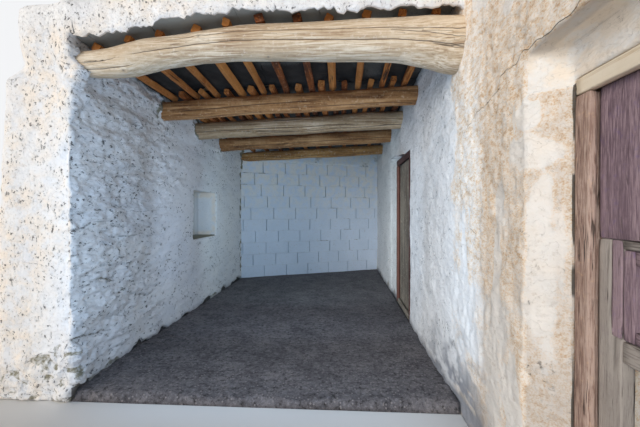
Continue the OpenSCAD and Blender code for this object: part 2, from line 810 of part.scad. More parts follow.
strap_t = 5;
module straps(d) {
    for (z = pin_heights(d)) difference() {
        union() {
            bar_z(pin_x(d), pin_y(d), z + seat_gap, z + eye_h, eye_r);
            box([leaf_in_x(d), pin_y(d) + leaf_gap, z + seat_gap],
                [leaf_in_x(d) + strap_t, pin_y(d) + strap_l, z + eye_h]);
            box([leaf_in_x(d), pin_y(d) + leaf_gap, z + seat_gap],
                [pin_x(d), pin_y(d) + leaf_gap + strap_t, z + eye_h]);
        }
        bar_z(pin_x(d), pin_y(d), z - cut, z + eye_h + cut, pin_r + seat_gap);
    }
}

module front_door_lintel() { color("#D9CDB4") place() door_lintel(front_door, front_lintel_h); }
module front_door_posts() { color("#A98D7E") place() posts(front_door, front_head_h); }
module front_door_head() { color("#C4AC95") place() head(front_door, front_head_h); }
module front_door_pintles() { color("#5A4B42") place() pintles(front_door); }
module front_door_straps() { color("#5A4B42") place() straps(front_door); }

module inner_door_lintel() { color("#B9B5A8") place() door_lintel(inner_door, inner_lintel_h); }
module inner_door_posts() { color("#6E3B30") place() posts(inner_door, inner_post_w); }
module inner_door_head() { color("#6E3B30") place() head(inner_door, inner_post_w); }
module inner_door_pintles() { color("#5A4B42") place() pintles(inner_door); }
module inner_door_straps() { color("#5A4B42") place() straps(inner_door); }

module inner_door_threshold() {
    color("#6B5340") place()
        box([porch_w, near_y(inner_door) + inner_post_w, 0],
            [porch_w + lip_d, far_y(inner_door) - inner_post_w, threshold_h]);
}

function leaf_top_z(d, head_h) = frame_h(d) - head_h + lip_w - leaf_gap;

// The front door's leaf: stiles and rails; its lower panel is gone
board_t = 22;
front_top_z = leaf_top_z(front_door, front_head_h);
front_lo_y = leaf_near_y(front_door);
front_hi_y = leaf_far_y(front_door);
bottom_rail_h = 110;
pane_z0 = mid_rail_z + mid_rail_h;
module front_door_leaf() {
    x0 = leaf_out_x(front_door);
    x1 = leaf_in_x(front_door);
    color("#8C857C") place() difference() {
        box([x0, front_lo_y, foot_gap], [x1, front_hi_y, front_top_z]);
        // the wide board lies in front of the upper half
        box([x0 - cut, front_lo_y - cut, board_z], [x0 + board_t, front_hi_y + cut, tall]);
        // opening of the pane
        box([x0 - cut, front_lo_y + stile_w, pane_z0], [x1 + cut, front_hi_y - stile_w, board_z - 30]);
        // the missing lower panel
        box([x0 - cut, front_lo_y + stile_w, foot_gap + bottom_rail_h],
            [x1 + cut, front_hi_y - stile_w, mid_rail_z]);
    }
}

module front_door_board() {
    x0 = leaf_out_x(front_door);
    color("#6F5F6E") place()
        box([x0, front_lo_y, board_z + seat_gap], [x0 + board_t, front_hi_y, front_top_z]);
}

// A moulding round the pane, held in the leaf's upper opening
module front_door_moulding() {
    x0 = leaf_out_x(front_door) + 4;
    y0 = front_lo_y + stile_w;
    y1 = front_hi_y - stile_w;
    z1 = board_z - 30;
    color("#7A6A78") place() difference() {
        box([x0, y0, pane_z0], [x0 + 26, y1, z1]);
        box([x0 - cut, y0 + moulding_w, pane_z0 + moulding_w],
            [x0 + 26 + cut, y1 - moulding_w, z1 - moulding_w]);
    }
}

module front_door_pane() {
    x0 = leaf_out_x(front_door) + 30;
    color("#5C625A") place()
        box([x0, front_lo_y + stile_w, pane_z0], [x0 + 8, front_hi_y - stile_w, board_z - 30]);
}

// The inner door's leaf: a boarded leaf with a round lock hole
lock_hole_r = 24;
board_count = 4;
groove = 4;
module inner_door_leaf() {
    d = inner_door;
    board_w = (leaf_far_y(d) - leaf_near_y(d)) / board_count;
    color("#8A8574") place() difference() {
        box([leaf_out_x(d), leaf_near_y(d), foot_gap],
            [leaf_in_x(d), leaf_far_y(d), leaf_top_z(d, inner_post_w)]);
        bar_x(leaf_out_x(d) - cut, leaf_in_x(d) + cut, leaf_far_y(d) - 75, 1010, lock_hole_r);
        // grooves between the boards, on both faces
        for (i = [1 : board_count - 1])
            for (x = [leaf_out_x(d) - cut, leaf_in_x(d) - groove])
                box([x, leaf_near_y(d) + i * board_w - groove / 2, 0],
                    [x + groove + cut, leaf_near_y(d) + i * board_w + groove / 2, frame_h(d)]);
    }
}

left_wall();
back_wall();
corner_wall();
wall_over_front_door();
wall_between_doors();
wall_over_inner_door();
wall_behind_inner_door();
room_front_wall();
room_side_wall();
room_rear_wall();
porch_floor();
room_floor();
lintel_log();
beam_1();
beam_2();
beam_3();
beam_4();
laths_1();
laths_2();
laths_3();
laths_4();
porch_slates();
porch_roof_earth();
porch_parapet();
room_logs();
room_laths();
room_slates();
room_roof_earth();
front_door_lintel();
front_door_posts();
front_door_head();
front_door_pintles();
front_door_leaf();
front_door_board();
front_door_moulding();
front_door_pane();
front_door_straps();
inner_door_lintel();
inner_door_posts();
inner_door_head();
inner_door_threshold();
inner_door_pintles();
inner_door_leaf();
inner_door_straps();
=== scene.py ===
# %% [markdown]
# An old country house: rubble and earth walls under lime, and an open porch
# whose roof is a rough log lintel, beams, split laths, slates and earth.
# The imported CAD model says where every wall, log and door stands. This lesson
# loads it first, reads all its places from the CAD boxes, and then makes each
# piece again with the surface that years of weather gave it.

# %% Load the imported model
import math

import bmesh
import bpy
import numpy as np
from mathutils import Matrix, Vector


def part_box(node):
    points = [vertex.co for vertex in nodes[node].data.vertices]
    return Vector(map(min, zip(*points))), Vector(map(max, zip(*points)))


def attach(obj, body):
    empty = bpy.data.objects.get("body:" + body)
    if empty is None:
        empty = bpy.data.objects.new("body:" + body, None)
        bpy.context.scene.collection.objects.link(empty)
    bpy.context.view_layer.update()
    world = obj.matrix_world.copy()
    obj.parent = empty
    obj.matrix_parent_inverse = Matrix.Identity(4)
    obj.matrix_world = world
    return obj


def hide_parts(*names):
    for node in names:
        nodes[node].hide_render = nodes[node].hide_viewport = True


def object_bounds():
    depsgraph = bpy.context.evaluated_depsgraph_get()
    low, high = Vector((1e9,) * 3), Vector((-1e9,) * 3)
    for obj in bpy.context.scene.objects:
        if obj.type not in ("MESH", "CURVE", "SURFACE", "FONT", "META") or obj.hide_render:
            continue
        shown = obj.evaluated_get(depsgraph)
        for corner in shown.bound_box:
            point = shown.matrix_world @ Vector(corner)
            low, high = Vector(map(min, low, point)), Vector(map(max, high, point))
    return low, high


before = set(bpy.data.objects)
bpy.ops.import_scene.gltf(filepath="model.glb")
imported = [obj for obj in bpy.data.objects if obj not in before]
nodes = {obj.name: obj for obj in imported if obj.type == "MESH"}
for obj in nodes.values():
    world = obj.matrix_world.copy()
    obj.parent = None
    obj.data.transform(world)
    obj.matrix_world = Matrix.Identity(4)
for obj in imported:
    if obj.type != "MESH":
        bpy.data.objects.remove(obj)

cad_box = [list(corner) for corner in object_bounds()]
print("CAD box, m:", [[round(v, 3) for v in corner] for corner in cad_box])


# %% Places read from the CAD boxes
def box(node):
    low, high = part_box(node)
    return np.array(low), np.array(high)


left_low, left_high = box("left_wall")
porch_low, porch_high = box("porch_floor")
porch_left, front_y = porch_low[:2]   # inner face of the left wall, front of the porch
porch_right = porch_high[0]           # inner face of the right wall
porch_w = porch_right - porch_left
floor_z = porch_high[2]
MM = 0.001
print(f"porch {porch_w:.3f} m wide, its front at y = {front_y:.3f}")

# %% [markdown]
# The camera stands in front of the open side, a little above half the
# height of a door, with the wide lens of the photograph. Its place was worked
# out from the courses of the block wall, which are 200 mm high.

# %% Camera
camera_data = bpy.data.cameras.new("camera")
camera_data.sensor_width = 36
camera_data.lens = 19.97
camera_data.clip_start = 0.05
camera = bpy.data.objects.new("camera", camera_data)
camera.location = (-1.073, -3.490, 1.200)
camera.rotation_euler = (math.radians(89.6), 0, math.radians(3.4))
bpy.context.scene.collection.objects.link(camera)
bpy.context.scene.camera = camera
bpy.context.scene.view_settings.view_transform = "Standard"


# %% [markdown]
# Every material is a small tree of nodes. One function adds a node with its
# settings and its links, and one turns a colour as it is written for a screen
# into the linear values that the renderer works with.

# %% Helpers for materials
def linear(colour):
    """A colour such as #F2EEE6 as linear red, green, blue and alpha."""
    parts = [int(colour[i:i + 2], 16) / 255 for i in (1, 3, 5)]
    return [p / 12.92 if p <= 0.04045 else ((p + 0.055) / 1.055) ** 2.4 for p in parts] + [1.0]


def add(tree, kind, inputs=None, out=0, stops=(), **settings):
    """Adds a node with its settings and links and gives back one output.
    Inputs are values, #colours or outputs of other nodes; stops are the
    places and #colours of a colour ramp."""
    node = tree.nodes.new(kind)
    for name, value in settings.items():
        setattr(node, name, value)
    for i, (place, colour) in enumerate(stops):
        row = node.color_ramp.elements
        stop = row[i] if i < 2 else row.new(place)
        stop.position, stop.color = place, linear(colour)
    for key, value in (inputs or {}).items():
        if isinstance(value, bpy.types.NodeSocket):
            tree.links.new(value, node.inputs[key])
        else:
            colour = isinstance(value, str) and value.startswith("#")
            node.inputs[key].default_value = linear(value) if colour else value
    return node.outputs[out] if len(node.outputs) else node


def new_material(name, roughness):
    """A material, its tree and its shader, with a plain roughness."""
    material = bpy.data.materials.new(name)
    material.use_nodes = True
    tree = material.node_tree
    shader = tree.nodes["Principled BSDF"]
    shader.inputs["Roughness"].default_value = roughness
    return material, tree, shader


BLACK, WHITE = "#000000", "#FFFFFF"

# %% [markdown]
# Light: a pale sky from all sides, a soft lamp from the front left that
# reaches deep into the porch, a little warm light from above it, one lamp
# behind the house for its other sides, and three bluish lamps for the light
# that the ground and the sky throw into the porch. What the camera sees behind
# the house is plain white, also in glossy and glassy surfaces.

# %% Light and floor
world = bpy.data.worlds.new("sky")
bpy.context.scene.world = world
world.use_nodes = True
sky = world.node_tree
sky.nodes.clear()
camera_ray = add(sky, "ShaderNodeLightPath", out="Is Camera Ray")
rays = camera_ray.node.outputs
seen = add(sky, "ShaderNodeMath", {0: camera_ray, 1: rays["Is Glossy Ray"]}, operation="MAXIMUM")
seen = add(sky, "ShaderNodeMath", {0: seen, 1: rays["Is Transmission Ray"]}, operation="MAXIMUM")
ambient = add(sky, "ShaderNodeBackground", {"Color": "#E9F1FF", "Strength": 0.34})
backdrop = add(sky, "ShaderNodeBackground", {"Color": "#F4F5F7", "Strength": 1.0})
both = add(sky, "ShaderNodeMixShader", {0: seen, 1: ambient, 2: backdrop})
add(sky, "ShaderNodeOutputWorld", {0: both})


def soft_sun(name, energy, angle, colour, turn_x, turn_z):
    """A lamp with parallel light and soft shadows."""
    data = bpy.data.lights.new(name, "SUN")
    data.energy, data.angle, data.color = energy, math.radians(angle), linear(colour)[:3]
    lamp = bpy.data.objects.new(name, data)
    lamp.rotation_euler = (math.radians(turn_x), 0, math.radians(turn_z))
    bpy.context.scene.collection.objects.link(lamp)


def porch_lamp(name, y, width, height, watts, colour):
    """A soft lamp that stands across the porch and shines towards its back."""
    data = bpy.data.lights.new(name, "AREA")
    data.shape, data.size, data.size_y = "RECTANGLE", width, height
    data.energy, data.color = watts, linear(colour)[:3]
    lamp = bpy.data.objects.new(name, data)
    lamp.location = (porch_left + porch_w / 2, front_y + y, floor_z + 1.05)
    lamp.rotation_euler = (math.radians(90), 0, 0)
    bpy.context.scene.collection.objects.link(lamp)


soft_sun("front_light", 2.35, 30, "#FFFFFF", 84, -28)
soft_sun("warm_light", 0.50, 24, "#FFE6C4", 56, -63)
soft_sun("rear_light", 1.50, 50, "#F4F6FF", 55, 152)
porch_lamp("mouth_light", -0.35, porch_w - 0.3, 1.7, 16.5, "#A7D3FF")
porch_lamp("middle_light", 0.9, 1.8, 1.3, 7.5, "#C2DEFF")
porch_lamp("deep_light", 2.0, 1.6, 1.2, 6.5, "#C6EBFF")

floor_material, tree, shader = new_material("studio_floor", 0.9)
shader.inputs["Base Color"].default_value = linear("#DAD8D4")
bpy.ops.mesh.primitive_plane_add(size=60, location=(0, 0, -0.001))
floor = bpy.context.object
floor.name = "studio_floor"
floor.data.materials.append(floor_material)
print("camera, light and floor are set")


# %% [markdown]
# The surfaces are shaped by numbers first. A smooth random field, and several
# sizes of it added up, are all that the walls, logs and floors need. They work
# on whole arrays of points and always give the same result.

# %% Helpers for rough surfaces
def ease(start, end, value):
    """0 before start, 1 after end, and a smooth rise between them."""
    t = np.clip((value - start) / (end - start), 0, 1)
    return t * t * (3 - 2 * t)


def lattice(x, y, z, seed):
    """A random value from -1 to 1 for each whole-number place."""
    h = (x * 374761393 + y * 668265263 + z * 1442695041 + seed * 974634777) & 0xFFFFFFFF
    h = ((h ^ (h >> 13)) * 1274126177) & 0xFFFFFFFF
    return ((h ^ (h >> 16)) & 0xFFFF) / 32767.5 - 1


def swell(points, size, seed=0):
    """A smooth random field between -1 and 1; size is its grain in metres."""
    place = points / np.asarray(size, float)
    whole = np.floor(place).astype(np.int64)
    f = place - whole
    f = f * f * f * (f * (f * 6 - 15) + 10)
    total = np.zeros(len(points))
    for dx in (0, 1):
        for dy in (0, 1):
            for dz in (0, 1):
                share = (np.abs(1 - dx - f[:, 0]) * np.abs(1 - dy - f[:, 1])
                         * np.abs(1 - dz - f[:, 2]))
                total += share * lattice(whole[:, 0] + dx, whole[:, 1] + dy, whole[:, 2] + dz, seed)
    return total


def rough(points, size, layers=3, seed=0, keep=0.5):
    """Several swells added, each half the size and keep times the height."""
    size = np.asarray(size, float)
    return sum(keep ** i * swell(points, size / 2 ** i, seed + 7 * i) for i in range(layers))


# %% [markdown]
# A wall is made as the skin of a block of cells, like masonry that is built
# up and has its doorways and niches left out. The grid lines lie close
# together where the camera is near. The skin is closed, so it can then be
# bent, worn round at its edges and roughened as one piece.

# %% Grid lines and the skin of cells
def lines(*stops):
    """Grid lines through places, each with the spacing that holds there."""
    out = [stops[0][0]]
    for (a, step_a), (b, step_b) in zip(stops, stops[1:]):
        count = max(1, round((b - a) / ((step_a + step_b) / 2)))
        t = np.arange(1, count + 1) / count
        lean = (step_b - step_a) / (step_a + step_b)
        out.extend(a + (b - a) * (t + lean * (t * t - t)))
    return np.array(out)


def skin(xs, ys, zs, solid):
    """The surface of the solid cells of a grid: points and outward quads."""
    n = (len(xs), len(ys), len(zs))
    filled = np.pad(solid.astype(np.int8), 1)
    quads = []
    for axis in range(3):
        b, c = (axis + 1) % 3, (axis + 2) % 3
        change = np.diff(filled, axis=axis)
        for sign in (1, -1):
            i = list(np.nonzero(change == -sign))
            i[b] = i[b] - 1
            i[c] = i[c] - 1
            ring = []
            for db, dc in ((0, 0), (1, 0), (1, 1), (0, 1))[::sign]:
                k = [v.copy() for v in i]
                k[b] += db
                k[c] += dc
                ring.append((k[0] * n[1] + k[1]) * n[2] + k[2])
            quads.append(np.stack(ring, 1))
    quads = np.concatenate(quads)
    used, quads = np.unique(quads, return_inverse=True)
    quads = quads.reshape(-1, 4)
    points = np.stack([xs[used // (n[1] * n[2])], ys[used // n[2] % n[1]], zs[used % n[2]]], 1)
    return points, quads


def middles(*grids):
    """The middles of the cells between grid lines, one array for each axis."""
    return np.meshgrid(*[(v[1:] + v[:-1]) / 2 for v in grids], indexing="ij")

# %% Worn edges and outward directions
INSET = 0.5 * MM                       # how far shapes stay inside the CAD model's box


def relax(points, quads, times, share=None):
    """Moves each point towards its neighbours, which wears edges round."""
    a = quads.reshape(-1)
    b = np.roll(quads, -1, 1).reshape(-1)
    count = np.bincount(a, minlength=len(points)) + np.bincount(b, minlength=len(points))
    share = 0.5 if share is None else 0.5 * share[:, None]
    for _ in range(times):
        mean = np.stack([np.bincount(a, points[b, i], len(points))
                         + np.bincount(b, points[a, i], len(points)) for i in range(3)], 1)
        points = points + share * (mean / count[:, None] - points)
    return points


def normals(points, quads):
    """Outward directions at the points."""
    face = np.cross(points[quads[:, 2]] - points[quads[:, 0]],
                    points[quads[:, 3]] - points[quads[:, 1]])
    out = np.stack([np.bincount(quads.reshape(-1), np.repeat(face[:, i], 4), len(points))
                    for i in range(3)], 1)
    return out / np.maximum(np.linalg.norm(out, axis=1), 1e-12)[:, None]


def push_out(points, outward, distance):
    """Moves points outwards, but keeps the underside flat on the ground."""
    bottom = points[:, 2] < -floor_z + 0.01
    points = points + outward * np.where(bottom, 0, distance)[:, None]
    points[:, 2] = np.where(bottom, -floor_z + INSET, points[:, 2])
    return points

# %% Pieces
def store(mesh, key, values):
    """Stores a number, or a place, at each point of a mesh."""
    values = np.asarray(values, np.float32)
    kind, slot = ("FLOAT", "value") if values.ndim == 1 else ("FLOAT_VECTOR", "vector")
    mesh.attributes.new(key, kind, "POINT").data.foreach_set(slot, values.reshape(-1))


def make_piece(name, points, quads, material, smooth=True, **attributes):
    """A mesh object from points and faces, with values stored at its points."""
    mesh = bpy.data.meshes.new(name)
    mesh.from_pydata(np.asarray(points).tolist(), [], [list(map(int, q)) for q in quads])
    for key, values in attributes.items():
        store(mesh, key, values)
    mesh.polygons.foreach_set("use_smooth", [smooth] * len(mesh.polygons))
    mesh.materials.append(material)
    piece = bpy.data.objects.new(name, mesh)
    bpy.context.scene.collection.objects.link(piece)
    return piece


def thin_out(piece, fine, ratio):
    """Thins the mesh to a share of its faces where fine is near 0."""
    group = piece.vertex_groups.new(name="coarse")
    for i in np.nonzero(fine < 0.5)[0]:
        group.add([int(i)], 1.0, "REPLACE")
    thin = piece.modifiers.new("thin", "DECIMATE")
    thin.ratio = ratio
    thin.vertex_group = "coarse"
    thin.vertex_group_factor = 10
    thin.use_collapse_triangulate = False
    return apply_modifiers(piece)


def apply_modifiers(piece):
    """Turns what the modifiers made into the piece's own mesh."""
    bpy.context.view_layer.update()
    done = bpy.data.meshes.new_from_object(piece.evaluated_get(
        bpy.context.evaluated_depsgraph_get()))
    old = piece.data
    piece.modifiers.clear()
    piece.vertex_groups.clear()
    piece.data = done
    done.name = old.name
    bpy.data.meshes.remove(old)
    return piece


def triangles(piece):
    return sum(len(p.vertices) - 2 for p in piece.data.polygons)

# %% Places kept and bent
def round_edge(a, b, corner_a, corner_b, to_a, to_b, r):
    """Bends the square edge at a corner into a quarter circle of radius r.
    The wall lies on the to_a and to_b side (1 or -1) of the corner."""
    p = (a - corner_a) * to_a
    q = (b - corner_b) * to_b
    near = (p < r) & (q < r) & (p > -r / 2) & (q > -r / 2)
    u, v = np.minimum(p - r, 0), np.minimum(q - r, 0)
    scale = np.maximum(np.abs(u), np.abs(v)) / np.maximum(np.hypot(u, v), 1e-9)
    return (np.where(near, corner_a + to_a * (r + u * scale), a),
            np.where(near, corner_b + to_b * (r + v * scale), b))


def keep_out(points, low, high):
    """Moves points that lie in a box to its nearest upright side."""
    inside = np.all((points > low) & (points < high), axis=1)
    for i in np.nonzero(inside)[0]:
        p = points[i]
        gaps = [p[0] - low[0], high[0] - p[0], p[1] - low[1], high[1] - p[1]]
        side = int(np.argmin(gaps))
        points[i, side // 2] = (low, high)[side % 2][side // 2]
    return points


def in_box(points):
    """Points held inside the box of the whole CAD model."""
    return np.clip(points, np.array(cad_box[0]) + INSET, np.array(cad_box[1]) - INSET)

# %% Solids of a CAD node
def solids_of(node):
    """The separate solids of a CAD node, each as an array of its points."""
    mesh = nodes[node].data
    points = np.array([v.co for v in mesh.vertices])
    key = {}
    label = np.array([key.setdefault(tuple(np.round(p, 4)), len(key)) for p in points])
    group = np.arange(len(key))
    edges = label[np.array([e.vertices[:] for e in mesh.edges])]
    while True:
        low = np.minimum(group[edges[:, 0]], group[edges[:, 1]])
        before = group.copy()
        np.minimum.at(group, edges[:, 0], low)
        np.minimum.at(group, edges[:, 1], low)
        if (group == before).all():
            break
    return [points[group[label] == g] for g in np.unique(group)]


# %% [markdown]
# The slates are read first, because the walls and the parapet end at them.
# Each CAD slate is a tilted plate. A plane is fitted through its underside,
# and two functions then give the height of the slates' undersides and tops
# over any place in plan.

# %% Planes of the slates
slates = []
for corners in solids_of("porch_slates"):
    low, high = corners.min(0), corners.max(0)
    floor_points = []
    for x in (low[0], high[0]):
        for y in (low[1], high[1]):
            at = corners[np.abs(corners[:, 0] - x) < 0.01]
            at = at[np.argsort(np.abs(at[:, 1] - y))[:2]]
            floor_points.append(at[np.argmin(at[:, 2])])
    floor_points = np.array(floor_points)
    plane = np.linalg.lstsq(np.c_[floor_points[:, :2], np.ones(4)], floor_points[:, 2],
                            rcond=None)[0]
    slates.append({"low": low, "high": high, "plane": plane, "corners": corners})
slates.sort(key=lambda s: (s["low"][1] > front_y + 0.5, s["low"][0]))
front_slates = slates[:len(slates) // 2]
rear_slates = slates[len(slates) // 2:]
row_seam = rear_slates[0]["low"][1]
slate_t = 25 * MM
roof_left = front_slates[0]["low"][0]


def slate_under(x, y):
    """Height of the slates' undersides over places in plan."""
    out = np.zeros(np.shape(x))
    for row, place in ((front_slates, y < row_seam), (rear_slates, y >= row_seam)):
        for i, s in enumerate(row):
            a, b, c = s["plane"]
            here = place.copy()
            if i > 0:
                here &= x >= s["low"][0]
            if i < len(row) - 1:
                here &= x < row[i + 1]["low"][0]
            out[here] = (a * x + b * y + c)[here]
    return out


print(len(slates), "slates, the rear row starts at y =", round(float(row_seam), 3))

# %% [markdown]
# Lime plaster on rubble: many coats of limewash over earth, matt and chalky.
# Where coats broke off there are crevices with grime in them, and small pits
# where grains fell out. The mesh stores how dirty each place is, and where
# shade is painted into gaps, corners, round beam ends and under ledges; the
# material darkens and warms those places. Pits are a few millimetres wide;
# hairline cracks follow the edges of a cell pattern about 280 mm wide.

# %% Pits and cracks in the lime
def pits_and_cracks(tree, place, stored, noises, pitted, pit):
    """Where there are pits and cracks, and where thin marks hold together."""
    broad, middle, fine, cloud = noises
    # pits where grains fell out, in clusters, and short slanting cracks
    ragged = add(tree, "ShaderNodeMix", {0: 0.03, 4: place, 5: fine.node.outputs["Color"]}, out=1,
                 data_type="VECTOR")
    torn = add(tree, "ShaderNodeTexNoise", {"Vector": place, "Scale": 110.0, "Detail": 3.0},
               out="Color")
    torn = add(tree, "ShaderNodeMix", {0: 0.03, 4: ragged, 5: torn}, out=1, data_type="VECTOR")
    spots = add(tree, "ShaderNodeTexVoronoi", {"Vector": torn, "Scale": 1 / (4 * pit * MM)})
    lot = add(tree, "ShaderNodeSeparateColor", {0: spots.node.outputs["Color"]})
    lot = add(tree, "ShaderNodeMath", {0: lot, 1: 2.0}, operation="POWER")
    sized = add(tree, "ShaderNodeMath", {0: lot, 1: -0.30, 2: spots}, operation="MULTIPLY_ADD")
    pits = add(tree, "ShaderNodeValToRGB", {0: sized}, stops=[(0.02, WHITE), (0.10, BLACK)])
    where = add(tree, "ShaderNodeMath", {0: stored["rubble"], 1: 0.10, 2: middle},
                operation="MULTIPLY_ADD")
    where = add(tree, "ShaderNodeMath", {0: stored["even"], 1: -0.3, 2: where},
                operation="MULTIPLY_ADD")
    where = add(tree, "ShaderNodeValToRGB", {0: where},
                stops=[(0.62 - 0.22 * pitted, BLACK), (0.72 - 0.14 * pitted, WHITE)])
    drawn = add(tree, "ShaderNodeMapping", {"Vector": ragged, "Rotation": (0.45, 0.6, 0.0),
                                            "Scale": (75.0, 60.0, 22.0)})
    slant = add(tree, "ShaderNodeTexNoise", {"Vector": drawn, "Scale": 1.0, "Detail": 2.0})
    slant = add(tree, "ShaderNodeValToRGB", {0: slant}, stops=[(0.665, BLACK), (0.71, WHITE)])
    pits = add(tree, "ShaderNodeMath", {0: pits, 1: slant}, operation="MAXIMUM")
    pits = add(tree, "ShaderNodeMath", {0: pits, 1: where}, operation="MULTIPLY")
    # hairline cracks follow cells about 280 mm wide; one long crack is stored
    bent = add(tree, "ShaderNodeMix", {0: 0.16, 4: place, 5: broad.node.outputs["Color"]}, out=1,
               data_type="VECTOR")
    web = add(tree, "ShaderNodeTexVoronoi", {"Vector": bent, "Scale": 3.6},
              feature="DISTANCE_TO_EDGE")
    thin = add(tree, "ShaderNodeValToRGB", {0: web}, stops=[(0.003, WHITE), (0.010, BLACK)])
    held = add(tree, "ShaderNodeValToRGB", {0: fine}, stops=[(0.46, "#404040"), (0.60, WHITE)])
    patchy = add(tree, "ShaderNodeMath", {0: where, 1: held}, operation="MULTIPLY")
    patchy = add(tree, "ShaderNodeMath", {0: patchy, 1: cloud}, operation="MULTIPLY")
    cracks = add(tree, "ShaderNodeMath", {0: thin, 1: patchy}, operation="MULTIPLY")
    far = add(tree, "ShaderNodeMath", {0: stored["crack"]}, operation="ABSOLUTE")
    long_crack = add(tree, "ShaderNodeMapRange", {0: far, 1: 0.0008, 2: 0.0034, 3: 1.0, 4: 0.0})
    is_near = add(tree, "ShaderNodeMath", {0: far, 1: 0.0}, operation="GREATER_THAN")
    long_crack = add(tree, "ShaderNodeMath", {0: long_crack, 1: is_near}, operation="MULTIPLY")
    cracks = add(tree, "ShaderNodeMath", {0: cracks, 1: long_crack}, operation="MAXIMUM")
    return pits, cracks, held

# %% Steps in the lime, and painted shadows under its steps and ledges
def steps_and_joints(tree, place, stored, fine, held):
    """Steps between thin coats, painted shadow at the foot of each step, and painted shadow lines
    under the ledges.
    """
    # thin coats end in broken steps: contours of a noise, with ground that tilts between them
    layer = add(tree, "ShaderNodeTexNoise", {"Vector": place, "Scale": 8.0, "Detail": 4.0,
                                             "Roughness": 0.55})
    layer = add(tree, "ShaderNodeMath", {0: layer, 1: 8.0}, operation="MULTIPLY")
    layer = add(tree, "ShaderNodeMath", {0: layer}, operation="FRACT")
    # painted shadow at the foot of each step
    brink = add(tree, "ShaderNodeValToRGB", {0: layer}, stops=[(0.0, WHITE), (0.09, BLACK)])
    brink = add(tree, "ShaderNodeMath", {0: brink, 1: held}, operation="MULTIPLY")
    brink = add(tree, "ShaderNodeMath", {0: brink, 1: stored["rubble"]}, operation="MULTIPLY")
    # painted shadow lines under the ledges: dark where the course count is whole
    joint = add(tree, "ShaderNodeMath", {0: fine, 1: 0.22, 2: stored["course"]},
                operation="MULTIPLY_ADD")
    joint = add(tree, "ShaderNodeMath", {0: joint, 1: 0.5}, operation="PINGPONG")
    joint = add(tree, "ShaderNodeValToRGB", {0: joint}, stops=[(0.02, WHITE), (0.12, BLACK)])
    joint = add(tree, "ShaderNodeMath", {0: joint, 1: stored["crevice"]}, operation="MULTIPLY")
    joint = add(tree, "ShaderNodeMath", {0: joint, 1: held}, operation="MULTIPLY")
    return layer, brink, joint


